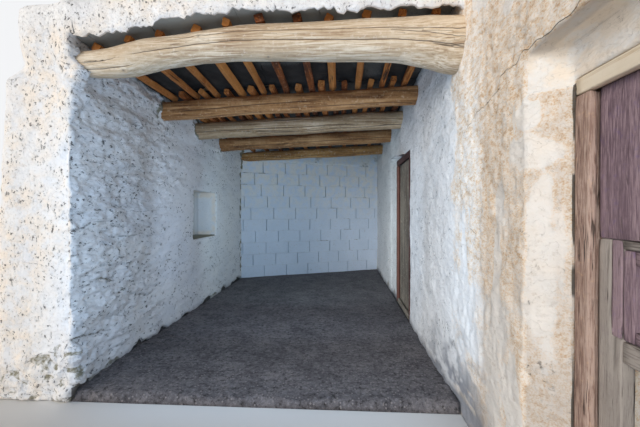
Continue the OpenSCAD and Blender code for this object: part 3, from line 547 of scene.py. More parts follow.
# %% Lime material
def plaster(name, clean, shade, cream, dirt, pitted, along=1.0, pit=4.5):
    """Limewashed rubble. The mesh stores how creamy each place is, with painted
    warm light over a door and on upper rows of blocks; how dirty it is, with
    painted shade in gaps, corners and under ledges; how far it is peeled to the
    ochre coats; how rusty, how dusty and how rubbly it is, with painted grey shade
    on a door's soffit and jamb and at the back of the niche; a count of its
    courses, which places the painted shadow lines under ledges; and the distance
    to a long crack. pitted is the share of ground with pits, pit their width in
    mm, and along below 1 draws everything out along the wall."""
    material, tree, shader = new_material(name, 0.92)
    place = add(tree, "ShaderNodeTexCoord", out="Object")
    place = add(tree, "ShaderNodeMapping", {"Vector": place, "Scale": (1.0, along, 1.0)})
    stored = {key: add(tree, "ShaderNodeAttribute", out="Fac", attribute_name=key)
              for key in ("cream", "hollow", "ochre", "rust", "dust", "rubble", "course",
                          "crevice", "crack", "even")}
    broad = add(tree, "ShaderNodeTexNoise", {"Vector": place, "Scale": 3.1, "Detail": 5.0,
                                             "Roughness": 0.6})
    middle = add(tree, "ShaderNodeTexNoise", {"Vector": place, "Scale": 11.0, "Detail": 4.0,
                                              "Roughness": 0.6})
    fine = add(tree, "ShaderNodeTexNoise", {"Vector": place, "Scale": 38.0, "Detail": 6.0,
                                            "Roughness": 0.72})
    grain = add(tree, "ShaderNodeTexNoise", {"Vector": place, "Scale": 190.0, "Detail": 2.0})
    cloud = add(tree, "ShaderNodeValToRGB", {0: broad}, stops=[(0.40, BLACK), (0.68, WHITE)])
    colour = add(tree, "ShaderNodeMix", {0: cloud, 6: clean, 7: shade}, out=2, data_type="RGBA")
    # creamy coats in soft clouds where the mesh says so, and painted warm light over the front door
    # and on the upper rows of blocks
    warm = add(tree, "ShaderNodeValToRGB", {0: middle}, stops=[(0.38, BLACK), (0.62, WHITE)])
    warm = add(tree, "ShaderNodeMath", {0: warm, 1: stored["cream"]}, operation="MULTIPLY")
    colour = add(tree, "ShaderNodeMix", {0: warm, 6: colour, 7: cream}, out=2, data_type="RGBA")
    # the ochre coats show with an edge that noise breaks up; their grains differ
    edge = add(tree, "ShaderNodeMath", {0: fine, 1: 1.1, 2: stored["ochre"]},
               operation="MULTIPLY_ADD")
    peel = add(tree, "ShaderNodeValToRGB", {0: edge}, stops=[(0.86, BLACK), (1.0, WHITE)])
    speck = add(tree, "ShaderNodeMath", {0: grain, 1: 0.55, 2: fine}, operation="MULTIPLY_ADD")
    grains = add(tree, "ShaderNodeValToRGB", {0: speck},
                 stops=[(0.58, "#D6A877"), (0.70, "#EAD3B6"), (0.84, "#F6ECE0")])
    colour = add(tree, "ShaderNodeMix", {0: peel, 6: colour, 7: grains}, out=2, data_type="RGBA")
    edge = add(tree, "ShaderNodeMath", {0: fine, 1: 1.5, 2: stored["rust"]},
               operation="MULTIPLY_ADD")
    edge = add(tree, "ShaderNodeMath", {0: grain, 1: 0.7, 2: edge}, operation="MULTIPLY_ADD")
    rusty = add(tree, "ShaderNodeValToRGB", {0: edge}, stops=[(1.32, BLACK), (1.75, "#D8D8D8")])
    colour = add(tree, "ShaderNodeMix", {0: rusty, 6: colour, 7: "#CF9154"}, out=2,
                 data_type="RGBA")
    # fine tan specks in the limewash
    speck = add(tree, "ShaderNodeValToRGB", {0: fine}, stops=[(0.33, "#B4B4B4"), (0.43, BLACK)])
    colour = add(tree, "ShaderNodeMix", {0: speck, 6: colour, 7: "#C9BDAE"}, out=2,
                 data_type="RGBA")
    pits, cracks, held = pits_and_cracks(tree, place, stored, (broad, middle, fine, cloud), pitted,
                                         pit)
    layer, brink, joint = steps_and_joints(tree, place, stored, fine, held)
    # grime lies in the hollows, and shade is painted into gaps, corners, round beam ends and under
    # ledges; grey where it is dusty, and painted grey shade on a door's soffit and jamb and at the
    # back of the niche
    soiled = add(tree, "ShaderNodeMath", {0: fine, 1: 0.9, 2: stored["hollow"]},
                 operation="MULTIPLY_ADD")
    soiled = add(tree, "ShaderNodeValToRGB", {0: soiled}, stops=[(0.78, BLACK), (1.2, WHITE)])
    colour = add(tree, "ShaderNodeMix", {0: soiled, 6: colour, 7: dirt}, out=2, data_type="RGBA")
    colour = add(tree, "ShaderNodeMix", {0: stored["dust"], 6: colour, 7: "#8F8F92"}, out=2,
                 data_type="RGBA")
    # marks: pits, cracks, and the painted shadow lines under the ledges
    marks = add(tree, "ShaderNodeMath", {0: pits, 1: cracks}, operation="MAXIMUM")
    marks = add(tree, "ShaderNodeMath", {0: marks, 1: joint}, operation="MAXIMUM")
    marks = add(tree, "ShaderNodeMath", {0: marks, 1: 0.86}, operation="MULTIPLY")
    # painted olive shadow at the foot of each step
    colour = add(tree, "ShaderNodeMix", {0: brink, 6: colour, 7: "#756C5E"}, out=2,
                 data_type="RGBA")
    colour = add(tree, "ShaderNodeMix", {0: marks, 6: colour, 7: "#3F3A34"}, out=2,
                 data_type="RGBA")
    tree.links.new(colour, shader.inputs["Base Color"])
    height = add(tree, "ShaderNodeMath", {0: grain, 1: 0.35, 2: fine}, operation="MULTIPLY_ADD")
    lumpy = add(tree, "ShaderNodeMath", {0: layer, 1: stored["rubble"]}, operation="MULTIPLY")
    height = add(tree, "ShaderNodeMath", {0: lumpy, 1: 3.2, 2: height}, operation="MULTIPLY_ADD")
    lumpy = add(tree, "ShaderNodeMath", {0: fine, 1: stored["rubble"]}, operation="MULTIPLY")
    height = add(tree, "ShaderNodeMath", {0: lumpy, 1: 2.6, 2: height}, operation="MULTIPLY_ADD")
    lumpy = add(tree, "ShaderNodeMath", {0: middle, 1: stored["rubble"]}, operation="MULTIPLY")
    height = add(tree, "ShaderNodeMath", {0: lumpy, 1: 4.0, 2: height}, operation="MULTIPLY_ADD")
    height = add(tree, "ShaderNodeMath", {0: marks, 1: -1.6, 2: height}, operation="MULTIPLY_ADD")
    bump = add(tree, "ShaderNodeBump", {"Height": height, "Distance": 3.2 * MM, "Strength": 0.95})
    tree.links.new(bump, shader.inputs["Normal"])
    return material


lime = plaster("limewashed_rubble", "#F3F1EE", "#E9E9EA", "#F6EADB", "#8F8A76", pitted=1.0,
               along=0.42)
house_lime = plaster("peeling_ochre_limewash", "#F7F4EF", "#ECE9E4", "#F4E8D8", "#B5A690",
                     pitted=0.55, along=0.5, pit=3.0)
print("lime materials:", lime.name, "and", house_lime.name)


# %% [markdown]
# The left wall carries the parapet over the lintel, and both are plastered in
# one go, so they are one skin here. Its outer face leans, its head steps back
# at a shoulder, a kerb stands beside the roof and a square niche is left in
# its inner face. The inner face is roughest near the free end, where stones
# and ledges of old coats stand out; further back the plaster lies flat.

# %% Left wall: sizes and grid
wall_t = porch_left - left_low[0]
wall_l = left_high[1] - front_y
porch_d = 3.810                       # depth of the porch along the left wall
niche_y0, niche_y1, niche_z0, niche_z1 = 1.870, 2.610, 0.810, 1.385
niche_back = 0.280
head_t, body_t, shoulder_z, head_z = 0.345, 0.480, 1.980, 2.070
kerb_in = roof_left - porch_left - 5 * MM
parapet_low, parapet_high = box("porch_parapet")
par_y0, par_y1 = parapet_low[1] - front_y, parapet_high[1] - front_y
par_left_z, par_right_z = 2.430, parapet_high[2] - floor_z
kerb_z = left_high[2] - floor_z
ledge_h = 0.082                       # from one ledge of old coats to the next
eave_h = 0.025                        # height of the plaster's lip over the eave
apron_h = 0.22                        # height of the swelling under the parapet
seat_z = parapet_low[2] - floor_z

eave_y = front_slates[0]["low"][1] - front_y + 4 * MM      # the plaster covers the slates' edges
xs = lines((-wall_t, 0.022), (-0.3, 0.022), (-niche_back, 0.02), (kerb_in, 0.014), (0, 0.011),
           (0.5, 0.018), (porch_w + 0.02, 0.02))
ys = lines((par_y0, 0.011), (eave_y, 0.011), (0, 0.011), (par_y1, 0.011), (0.9, 0.013),
           (niche_y0, 0.019), (niche_y1, 0.024), (wall_l, 0.045))
zs = lines((-floor_z, 0.012), (niche_z0, 0.012), (niche_z1, 0.013), (shoulder_z, 0.014),
           (seat_z, 0.013), (seat_z + eave_h, 0.013), (kerb_z, 0.015))
cx, cy, cz = middles(xs, ys, zs)
solid = (cx < 0) & (cy > 0) & (cz < seat_z)
solid &= ~((cx > -niche_back) & (cy > niche_y0) & (cy < niche_y1) & (cz > niche_z0)
           & (cz < niche_z1))
solid |= (cx < kerb_in) & (cy > 0) & (cz > seat_z)
solid |= (cx < kerb_in) & (cy < par_y1) & (cz > seat_z)
solid |= (cy < par_y1) & (cz > seat_z + eave_h)
solid |= (cy < eave_y) & (cz > seat_z)
solid |= (cx < 0) & (cy < 0) & (cz > seat_z - apron_h)
p, q = skin(xs, ys, zs, solid)
print("left wall:", len(p), "points,", len(q), "faces")

# %% Left wall: slopes and edges
x, y, z = p.T
lip = (np.abs(z - seat_z) < 0.001) & (y < eave_y + 0.001) & (x > 0.01)
# below the parapet the wall's front swells forward to meet it
y = np.where((y < 0) & (z < seat_z - 0.001), y * ease(seat_z - apron_h, seat_z - 0.03, z), y)


def outer_face(z):
    """How far out the left wall stands at a height."""
    return np.interp(z, [-floor_z, shoulder_z, head_z, kerb_z], [wall_t, body_t, head_t, head_t])


y, z = round_edge(y, z, par_y0, kerb_z, 1, -1, 0.07)
over_porch = (y < par_y1) | (x > kerb_in)
y2, z2 = round_edge(y, z, par_y1, kerb_z, -1, -1, 0.07)
y, z = np.where(over_porch, y2, y), np.where(over_porch, z2, z)
out = outer_face(z)
x = np.where(x < -0.3, -0.3 + (x + 0.3) * (out - 0.3) / (wall_t - 0.3), x)
# the top of the wall follows the slates, and the parapet's top rises to the right
under = slate_under(np.clip(x, kerb_in + 0.006, porch_w - 0.01) + porch_left, y + front_y) - floor_z
share = np.clip((x + head_t) / (porch_w + head_t), 0, 1)
top = np.where(y < par_y1 + 0.02, par_left_z + (par_right_z - par_left_z) * share, kerb_z)
z = np.where(z > seat_z + 0.012,
             under + slate_t
             + (z - seat_z - eave_h) * (top - under - slate_t) / (kerb_z - seat_z - eave_h),
             np.where(z > 1.9, 1.9 + (z - 1.9) * (under - 0.002 - 1.9) / (seat_z - 1.9), z))
x, y = round_edge(x, y, -out, par_y0 * ease(seat_z - apron_h, seat_z - 0.03, z), 1, 1, 0.10)
p = relax(np.stack([x, y, z], 1), q, 2)
n = normals(p, q)
x, y, z = p.T
print(f"left wall: {out.max():.3f} m thick at its foot, {out.min():.3f} m at its head")

# %% Left wall: ledges of old coats
inner = ease(0.5, 0.9, n[:, 0]) * (x > -0.1)
front = ease(0.4, 0.8, -n[:, 1])
wander = 0.35 * (1.2 - z) + 0.3 * rough(p, 0.5, 2, seed=2)
rubble = inner * (0.12 + 0.88 * (1 - ease(0.40, 1.6, y + wander))) * ease(kerb_z, 2.1, z)
# coats and stones end in short ledges about 80 mm apart that overhang a groove, with a painted
# shadow line under each
bow = 0.10 * rough(p * (1, 0.8, 0.55), 0.42, 3, seed=3)
course = (z + bow) / ledge_h
number = np.floor(course)
share = course - number


def ledge_at(number):
    """How far each point lies under or over a ledge with this number."""
    return ease(0.10, 0.45, swell(np.stack([3.7 * number + 0.5, y / 0.17, 0 * y], 1), 1.0, 5))


zone = ease(0.2, 0.6, rubble) * (0.25 + 0.75 * ease(1.6, 0.9, z))
own_ledge, next_ledge = ledge_at(number), ledge_at(number + 1)
d_course = zone * MM * (16 * own_ledge * (1 - share) ** 2
                        - 9 * next_ledge * np.exp(-((1 - share) * ledge_h / 0.011) ** 2))
# where the painted shadow lines under the ledges lie
open_joint = zone * np.where(share > 0.5, next_ledge, own_ledge)
print(f"ledges stand out up to {d_course.max() / MM:.0f} mm")

# %% Left wall: lumps, collars and foot
flat_p = p * (1, 0.34, 1)
lumps = rough(flat_p, 0.11, 5, seed=21, keep=0.58)
thrown = rough(flat_p, 0.05, 3, seed=22, keep=0.6)
d = 8 * MM * swell(p, 0.62, 30) + 2.5 * MM * lumps + 1.2 * MM * swell(flat_p, 0.03, 31)
d += rubble * MM * (19 * lumps + 13 * np.abs(thrown) + 2 * thrown) + d_course
chips = ease(0.25, 0.6, rough(p, 0.075, 3, seed=41)) * ease(-0.1, 0.5, swell(p, 0.4, 42)) * front
d += front * MM * (5 * rough(p, 0.12, 4, seed=43, keep=0.6) - 4 * chips)
# plaster is thrown up round the ends of the lintel and the beams, and breaks off there
collar = 0 * z
for name in ("lintel_log", "beam_1", "beam_2", "beam_3", "beam_4"):
    low, high = box(name)
    log_y, log_z = (low + high)[1:] / 2 - (front_y, floor_z)
    if name == "lintel_log":
        log_y, log_z = 0.03, 2.03
    away = ((y - log_y) / 0.15) ** 2 + ((z - log_z + 0.05) / 0.17) ** 2
    collar = np.maximum(collar, np.exp(-away))
d += np.maximum(inner, (x > -0.05) * front) * MM * collar * (34 + 22 * lumps + 16 * thrown)
# stones stand out along the free end's corner
corner = np.exp(-(x ** 2 + y ** 2) / 0.09 ** 2)
d += corner * MM * (17 * rough(p, 0.11, 4, seed=46) + 24 * np.exp(-((z - 1.60) / 0.06) ** 2)
                    + 14 * np.exp(-((z - 1.88) / 0.12) ** 2))
# the plaster bulges over the stones at the foot of the free end, under a crack
skirt = 0.17 + 0.13 * ease(-0.45, -0.02, x) + 0.02 * swell(p, 0.1, 45)
foot = ease(skirt + 0.015, skirt - 0.03, z) * ease(0.30, 0.0, y) * np.maximum(front, inner)
d += foot * (14 * MM + 14 * MM * ease(skirt - 0.02, 0.0, z) + 8 * MM * thrown + 10 * MM * lumps)
foot_crack = np.exp(-((z - skirt) / 0.014) ** 2) * ease(0.2, 0.0, y) * ease(-0.30, -0.05, x)
d -= 10 * MM * foot_crack * np.maximum(front, inner)
# a ragged gap runs between the plaster and the floor, painted dark as the shade in it
low_edge = ease(0.035, 0.012, z + 0.035 * rough(p * (0, 1, 0), 0.14, 3, seed=50)) * inner
d -= 34 * MM * low_edge * ease(-0.35, 0.0, swell(p * (0, 1, 0), 0.21, 51))
in_niche = (x < -0.02) & (x > -niche_back - 0.02) & (y > niche_y0 - 0.02) & (y < niche_y1 + 0.02) \
    & (z > niche_z0 - 0.03) & (z < niche_z1 + 0.03)
d = np.where(in_niche, 1.5 * MM * swell(p, 0.12, 52), d)
p = push_out(p, n, d)
p[:, 0] += MM * (52 + 22 * lumps) * ease(-0.12, 0.0, x) * ease(0.16, 0.02, y) \
    * np.exp(-((z - 2.06) / 0.20) ** 4) * (x < 0.05)
# the plaster over the eave ends in a ragged edge, with lumps that hang down
hanging = 34 + 16 * ease(-0.2, 0.7, rough(p * (1, 0, 0), 0.19, 4, seed=54)) \
    + 16 * rough(p * (1, 0, 0), 0.055, 3, seed=58, keep=0.7)
p[:, 2] -= lip * MM * ease(0.0, 0.15, x) * (hanging + 20 * ease(0.6, 1.4, x))
print(f"relief of the left wall: {d.min() / MM:.0f} to {d.max() / MM:.0f} mm")

# %% Left wall: cracks, grime, painted shade and coats
# the floor gap is drawn as a dark crack line: painted shade
gap = (low_edge > 0.4) & (swell(p * (0, 1, 0), 0.21, 51) > -0.3)
crack = np.where(gap, 0.5 * MM, z - skirt + 0.05 * rough(p, 0.08, 4, seed=57, keep=0.6))
crack = np.where(gap | (np.abs(crack) < 0.04) & (y < 0.12) & (x > -0.30) & (front + inner > 0.5)
                 & (swell(p, 0.07, 59) > -0.15), crack, 0.5)
# grime in chips and cracks, darker low down in the rubble, and painted shade in the floor gap and
# just under the ledges
hollow = np.clip(0.15 * chips + 0.5 * low_edge + 0.35 * foot_crack
                 + 0.55 * open_joint * ease(0.75, 0.95, share) * ease(1.1, 0.6, z)
                 + 0.6 * rubble * ease(0.55, 0.1, z + 0.5 * y)
                 * ease(0.25, 0.8, swell(flat_p, 0.055, 55)), 0, 1)
# grimy patches in the plaster round the beam ends, and painted shade right where they go in
hollow += inner * np.clip(collar * ease(0.05, 0.6, swell(p, 0.055, 60))
                          + 0.8 * collar ** 4 * (y > 0.5), 0, 1) * ease(0.0, 0.25, y)
# painted shade in the rough corner with the block wall
at_corner = inner * ease(0.17, 0.02, porch_d - y) * ease(-0.2, 0.5, rough(p, 0.07, 3, seed=61))
foot_stones = 0.5 * foot * ease(0.0, 0.6, -thrown)
hollow = np.clip(hollow + 0.9 * at_corner + foot_stones, 0, 1)
# the niche is smooth and white, with warm borders, a painted shadow line along its sill, and
# painted grey shade on its back
border = np.minimum(np.minimum(-x, z - niche_z0), niche_z1 - z)
hollow = np.where(in_niche, 0.9 * ease(0.022, 0.0, z - niche_z0) * (x < 0.0), hollow)
dust = np.clip(0.6 * np.exp(-((z + 0.01) / 0.04) ** 2) * inner, 0, 1)
cream = np.clip(1 - 1.2 * inner, 0, 1) * ease(-0.7, 0.2, swell(p, 0.5, 56))
cream = np.where(in_niche, 1.4 * ease(0.09, 0.03, border), cream)
# painted grey shade on the back of the niche
dust = np.where(in_niche & (x < -niche_back + 0.03), 0.45, dust)
p = in_box(p + (porch_left, front_y, floor_z))
left_mass = make_piece("left_wall_and_parapet", p, q, lime, cream=cream, hollow=hollow,
                       dust=dust, rubble=np.maximum(rubble + 0.35 * front, foot), course=course,
                       crevice=open_joint, crack=crack, even=1.0 * in_niche)
fine = np.maximum(inner, front) * (n[:, 2] > -0.8)
before = triangles(left_mass)
thin_out(left_mass, fine, 0.62)
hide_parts("left_wall", "porch_parapet")
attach(left_mass, "house")
print("left wall and parapet:", before, "->", triangles(left_mass), "triangles")

# %% [markdown]
# The wall between porch and room is one mass of masonry, though the CAD model
# holds it in pieces beside and over its doorways. It is one skin here too, so
# that no seam runs through the plaster. Inside the porch it is white; outside
# the lime has come off in patches and shows peach and ochre coats. Plaster is
# thrown up in round lumps where the beams go in.

# %% Wall to the room: sizes and grid
near_nodes = ["corner_wall", "wall_over_front_door", "wall_between_doors",
              "wall_over_inner_door", "wall_behind_inner_door"]
near_low = np.min([box(n)[0] for n in near_nodes], axis=0)
near_high = np.max([box(n)[1] for n in near_nodes], axis=0)
room_wall_t = near_high[0] - near_low[0]
ledge_z = box("room_logs")[1][2] - floor_z
top_z = near_high[2] - floor_z
rim_t = 0.300
y_front, y_rear = near_low[1] - front_y, near_high[1] - front_y
fd_low, fd_high = box("front_door_posts")
id_low, id_high = box("inner_door_posts")
fy0, fy1 = fd_low[1] - front_y, fd_high[1] - front_y
iy0, iy1 = id_low[1] - front_y, id_high[1] - front_y
recess = fd_low[0] - porch_right
frame_back = fd_high[0] - porch_right
splay = 0.102
fd_top = box("front_door_head")[1][2] - floor_z
soffit_z = box("front_door_lintel")[1][2] - floor_z
id_top = box("inner_door_head")[1][2] - floor_z

xs = lines((0, 0.013), (recess, 0.013), (frame_back, 0.027), (rim_t, 0.03), (room_wall_t, 0.06))
ys = lines((y_front, 0.06), (-2.0, 0.03), (fy0, 0.022), (-1.35, 0.013), (fy1, 0.011), (0, 0.013),
           (iy0, 0.022), (iy1, 0.026), (3.3, 0.03), (y_rear, 0.09))
zs = lines((-floor_z, 0.017), (fd_top, 0.016), (soffit_z, 0.016), (id_top, 0.018), (ledge_z, 0.018),
           (top_z, 0.024))
cx, cy, cz = middles(xs, ys, zs)
solid = (cz < ledge_z) | (cx < rim_t)
solid &= ~((cy > fy0) & (cy < fy1) & (cz < fd_top))
solid &= ~((cx < recess) & (cy > fy0) & (cy < fy1) & (cz < soffit_z))
solid &= ~((cy > iy0) & (cy < iy1) & (cz < id_top))
p, q = skin(xs, ys, zs, solid)
print("wall to the room:", len(p), "points,", len(q), "faces")

# %% Wall to the room: splays and edges
x, y, z = p.T
# the recess opens outwards at both sides
out_share = np.clip(1 - x / recess, 0, 1) * (1 - ease(soffit_z, soffit_z + 0.2, z))
y = np.where(y > (fy0 + fy1) / 2,
             y + splay * out_share * (1 - ease(fy1, fy1 + 0.35, y)) * (y >= fy1 - 0.001),
             y - splay * out_share * (1 - ease(0, 0.35, fy0 - y)) * (y <= fy0 + 0.001))
x, y = round_edge(x, y, 0.0, y_front, 1, 1, 0.11)
x, y = round_edge(x, y, 0.0, y_rear, 1, -1, 0.11)
for corner_x, way in ((0.0, 1), (rim_t, -1)):
    x, z = round_edge(x, z, corner_x, top_z, way, -1, 0.07)
p = relax(np.stack([x, y, z], 1), q, 2)
n = normals(p, q)
x, y, z = p.T
print(f"front door's splay: {splay:.3f} m to each side")

# %% Wall to the room: relief
face = ease(0.4, 0.8, -n[:, 0])
outside = 1 - ease(-0.02, 0.26, y + 0.10 * rough(p, 0.16, 3, 60))
lumps = rough(p, 0.16, 4, seed=61, keep=0.55)
d = 8 * MM * swell(p, 0.55, 62) + 3 * MM * lumps + 1.2 * MM * swell(p, 0.03, 63)
# outside: coarse grains, drips, and coats that broke off along edges
drips = rough(np.stack([x, y, z * 0.22], 1), 0.045, 2, seed=64)
coats = rough(p * (1, 1, 0.7), 0.34, 4, seed=65, keep=0.55)
shed = ease(0.02, 0.10, coats)
d += outside * face * (2.2 * MM * drips + 2.6 * MM * rough(p, 0.05, 2, seed=66) - 4.5 * MM * shed)
for name in ("beam_1", "beam_2", "beam_3", "beam_4"):
    low, high = box(name)
    by = (low[1] + high[1]) / 2 - front_y
    bz = (low[2] + high[2]) / 2 - floor_z
    away = ((y - by) / 0.20) ** 2 + ((z - bz + 0.03) / 0.22) ** 2 + 0.3 * lumps
    d += face * 26 * MM * np.exp(-away)
low, high = box("lintel_log")
away = ((y - 0.10) / 0.24) ** 2 + ((z - high[2] + floor_z + 0.15) / 0.24) ** 2
d += face * 14 * MM * np.exp(-away)
# shallow recess beyond the inner door, under the end of its lintel
beyond = ease(iy1 - 0.01, iy1 + 0.02, y) * (1 - ease(2.93, 2.97, y)) * (1 - ease(1.76, 1.80, z))
d -= face * 16 * MM * beyond
low_edge = np.exp(-((z - 0.0) / 0.09) ** 2) * face
d -= 10 * MM * low_edge * ease(-0.1, 0.5, swell(p, 0.17, 67))
d += 14 * MM * face * np.exp(-((z - 0.05) / 0.22) ** 2) * (1 - outside) * ease(1.8, 0.2, y)
inside_opening = ((y > fy0 - 0.15) & (y < fy1 + 0.15) & (z < soffit_z + 0.05)
                  | (y > iy0 - 0.03) & (y < iy1 + 0.03) & (z < id_top + 0.03)) & (x > 0.02)
d = np.where(inside_opening, -1.5 * MM + 1.5 * MM * swell(p, 0.1, 68), d)
p = push_out(p, n, d)
clear = 1 * MM
# a dark gap stays open between the plaster and the front door's posts
gap = 5 * MM + 5 * MM * ease(-0.3, 0.5, swell(p * (0, 0, 1), 0.09, 70)) * (z < fd_top)
p[:, 1] += np.where((np.abs(y - fy1) < 0.03) & (x > recess - 0.035) & (x < frame_back), gap, 0)
p = keep_out(p, (recess - 0.01, fy0 - clear, -1), (1, fy1 + clear, fd_top))
p = keep_out(p, (-0.1, iy0 - clear, -1), (1, iy1 + clear, id_top))
print(f"relief of the wall to the room: {d.min() / MM:.0f} to {d.max() / MM:.0f} mm")

# %% Wall to the room: places of coats and cracks
x, y, z = p.T
hollow = np.clip(0.28 * ease(0.2, 0.8, -lumps) + 0.4 * low_edge, 0, 1)
dust = np.clip(0.85 * np.exp(-((z + 0.01) / 0.06) ** 2) * face
               + face * ease(0.50, 0.05, z + 0.12 * rough(p, 0.2, 3, seed=75)) * ease(1.1, 0.2, y)
               * ease(-0.6, -0.1, y) * (0.25 + 0.75 * ease(-0.2, 0.4, rough(p * (1, 0.35, 1), 0.05,
                                                                            4, seed=69))), 0, 1)


def patches(y, z, places):
    """How much of each point lies in any of some soft oval patches."""
    return np.max([np.exp(-((y - py) / ry) ** 2 - ((z - pz) / rz) ** 2)
                   for py, pz, ry, rz in places], axis=0)


# where fresher white coats still hold, and where the lowest rusty coat shows;
# the door's slanting jamb counts as 2.6 times as wide, as the coats run round it
WHITE_COATS = [(-0.73, 1.52, 0.15, 0.075), (-0.74, 1.36, 0.20, 0.08), (-0.82, 0.95, 0.11, 0.40),
               (-0.48, 1.16, 0.05, 0.12), (-0.47, 0.75, 0.045, 0.50), (-0.58, 2.05, 0.08, 0.10),
               (-0.30, 2.25, 0.20, 0.12), (-1.5, 2.2, 0.4, 0.2), (-2.2, 1.6, 0.3, 0.5),
               (-2.35, 0.7, 0.2, 0.3), (-0.05, 0.75, 0.10, 0.35), (-0.62, 0.35, 0.10, 0.15)]
RUSTY_COATS = [(-0.15, 2.00, 0.12, 0.16), (-0.77, 1.66, 0.12, 0.09), (-0.45, 1.45, 0.16, 0.14),
               (-0.30, 1.85, 0.14, 0.10), (-0.66, 1.06, 0.09, 0.10), (-0.66, 0.83, 0.07, 0.05),
               (-0.42, 0.75, 0.045, 0.36), (-0.60, 0.72, 0.05, 0.26), (-0.72, 0.45, 0.09, 0.10),
               (-0.27, 1.35, 0.05, 0.30), (-0.35, 0.40, 0.05, 0.12),
               (-0.93, 1.45, 0.04, 0.14), (-1.00, 0.90, 0.03, 0.30), (-2.1, 1.1, 0.2, 0.25)]
# the long crack over the front door, the one that goes on from it, and a short one below
CRACKS = [[(-3.0, 1.775), (-1.13, 1.765), (-0.908, 1.757), (-0.853, 1.746), (-0.735, 1.762),
           (-0.694, 1.762), (-0.639, 1.742), (-0.541, 1.736), (-0.509, 1.721), (-0.515, 1.685)],
          [(-0.540, 1.672), (-0.431, 1.680), (-0.353, 1.666), (-0.193, 1.642), (-0.06, 1.58)],
          [(-0.16, 1.048), (-0.205, 1.040), (-0.225, 1.019), (-0.194, 0.944)]]


def line_distance(y, z, path):
    """Distance to a line through places, above 0 on one side of it."""
    best = np.full(len(y), 9.0)
    for (ay, az), (by, bz) in zip(path, path[1:]):
        run, rise = by - ay, bz - az
        t = np.clip(((y - ay) * run + (z - az) * rise) / (run ** 2 + rise ** 2), 0, 1)
        off = np.hypot(y - ay - t * run, z - az - t * rise) \
            * np.where(run * (z - az) - rise * (y - ay) > 0, 1, -1)
        best = np.where(np.abs(off) < np.abs(best), off, best)
    return best


def outer_coats(p):
    """Ochre and rust of the outer walls, the same across the seam of two pieces."""
    coats = rough(p * (1, 1, 0.7), 0.42, 5, seed=73, keep=0.6)
    return 0.12 + 0.36 * ease(-0.40, 0.50, coats), 0.6 * ease(0.1, 0.9, coats)


print(len(WHITE_COATS), "white and", len(RUSTY_COATS), "rusty patches,", len(CRACKS), "cracks")

# %% Wall to the room: coats, cracks and the piece
corner_y = fy1 + splay
u = np.where((y > fy1 - 0.03) & (y < corner_y), corner_y + (y - corner_y) * 2.6, y)
drips = rough(np.stack([x, u, 0.13 * z], 1), 0.035, 3, seed=159)
fringe = 0.20 * rough(p, 0.09, 3, seed=160) + 0.16 * drips
white = ease(0.30, 0.70, patches(u, z, WHITE_COATS) + fringe)
rust_share = 1.25 * patches(u, z, RUSTY_COATS) + 0.25 * rough(p, 0.2, 3, seed=161) + 0.22 * drips
ochre = outside * (1 - 0.9 * white) * (0.44 + 0.44 * ease(0.85, 1.5, z + 0.15 * swell(p, 0.3, 165))
                                       + 0.22 * rough(p, 0.22, 3, seed=163))
reveal = (x > 0.01) & (x < recess + 0.01) & (y > fy0 - 0.12) & (y < fy1 + 0.12)
over_door = reveal & (z > fd_top - 0.02)
soffit = over_door & (n[:, 2] < -0.5)
# over the door the coats are painted pale and creamy, standing for the light on that face
ochre = np.where(over_door, 0.20, ochre)
# the underside over the recess is painted grey, as the shade that falls there
dust = np.where(soffit & (x < recess - 0.05), 0.25, dust)
jamb = reveal & ~over_door
# the door's jamb is painted darker, more so low down, as the shade in the recess; white coats
# lighten it again
dust = np.where(jamb, 0.24 + 0.18 * ease(0.9, 0.3, z) - 0.22 * white, dust)
ochre = np.where(jamb, ochre + 0.08, ochre)
crack = np.full(len(y), 0.5)
for number, path in enumerate(CRACKS):
    off = line_distance(y + 0.010 * rough(p, 0.05, 3, seed=162),
                        z + 0.010 * rough(p, 0.05, 3, seed=163), path) * (2.4 if number else 1.7)
    crack = np.where((face > 0.3) & (y > fy0 - 0.1) & (np.abs(off) < 0.04)
                     & (np.abs(off) < np.abs(crack)),
                     off, crack)
# the plaster has come loose from the door's posts
beside = (np.minimum(np.abs(y - fy1), np.abs(y - fy0)) < 0.03) & (x > recess - 0.008) \
    & (x < frame_back) & (z < fd_top)
crack = np.where(beside, MM * (0.4 + 5 * ease(-0.2, -0.7, swell(p * (0, 0, 1), 0.11, 166))), crack)
far_out = np.maximum(ease(-1.9, -2.3, y), ease(0.05, 0.2, x) * ease(fy0, fy0 - 0.2, y))
far_out = np.maximum(far_out, ease(-0.2, 0.2, y - 4.9))
seam_ochre, seam_rust = outer_coats(p)
ochre = ochre + far_out * (seam_ochre - ochre)
rusty = outside * (1 - white) * np.clip(rust_share, 0, 1)
rusty = rusty + far_out * (seam_rust - rusty)
p = in_box(p + (porch_right, front_y, floor_z))
near_wall = make_piece("wall_between_porch_and_room", p, q, house_lime, hollow=hollow,
                       ochre=ochre, rust=rusty,
                       dust=dust, crack=crack,
                       rubble=np.maximum((0.55 - 0.17 * outside) * face, 0.38 * reveal),
                       even=0.4 * outside,
                       # creamy over the door: painted light
                       cream=outside * (0.15 + 0.35 * ease(0.4, 1.2, z)) + over_door)
fine = np.maximum(ease(-0.4, 0.2, -n[:, 0]), n[:, 1] < -0.9) * (x < recess + 0.05) \
    * (y > -1.9) * (y < 4.9)
before = triangles(near_wall)
thin_out(near_wall, fine, 0.60)
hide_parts(*near_nodes, "front_door_lintel", "inner_door_lintel")
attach(near_wall, "house")
print("wall between porch and room:", before, "->", triangles(near_wall), "triangles")

# %% [markdown]
# The room's other walls stand round three sides of it. They are seen only
# from outside, so their grid is wider; their ends run a little way into the
# wall towards the porch, as the courses of one building would.

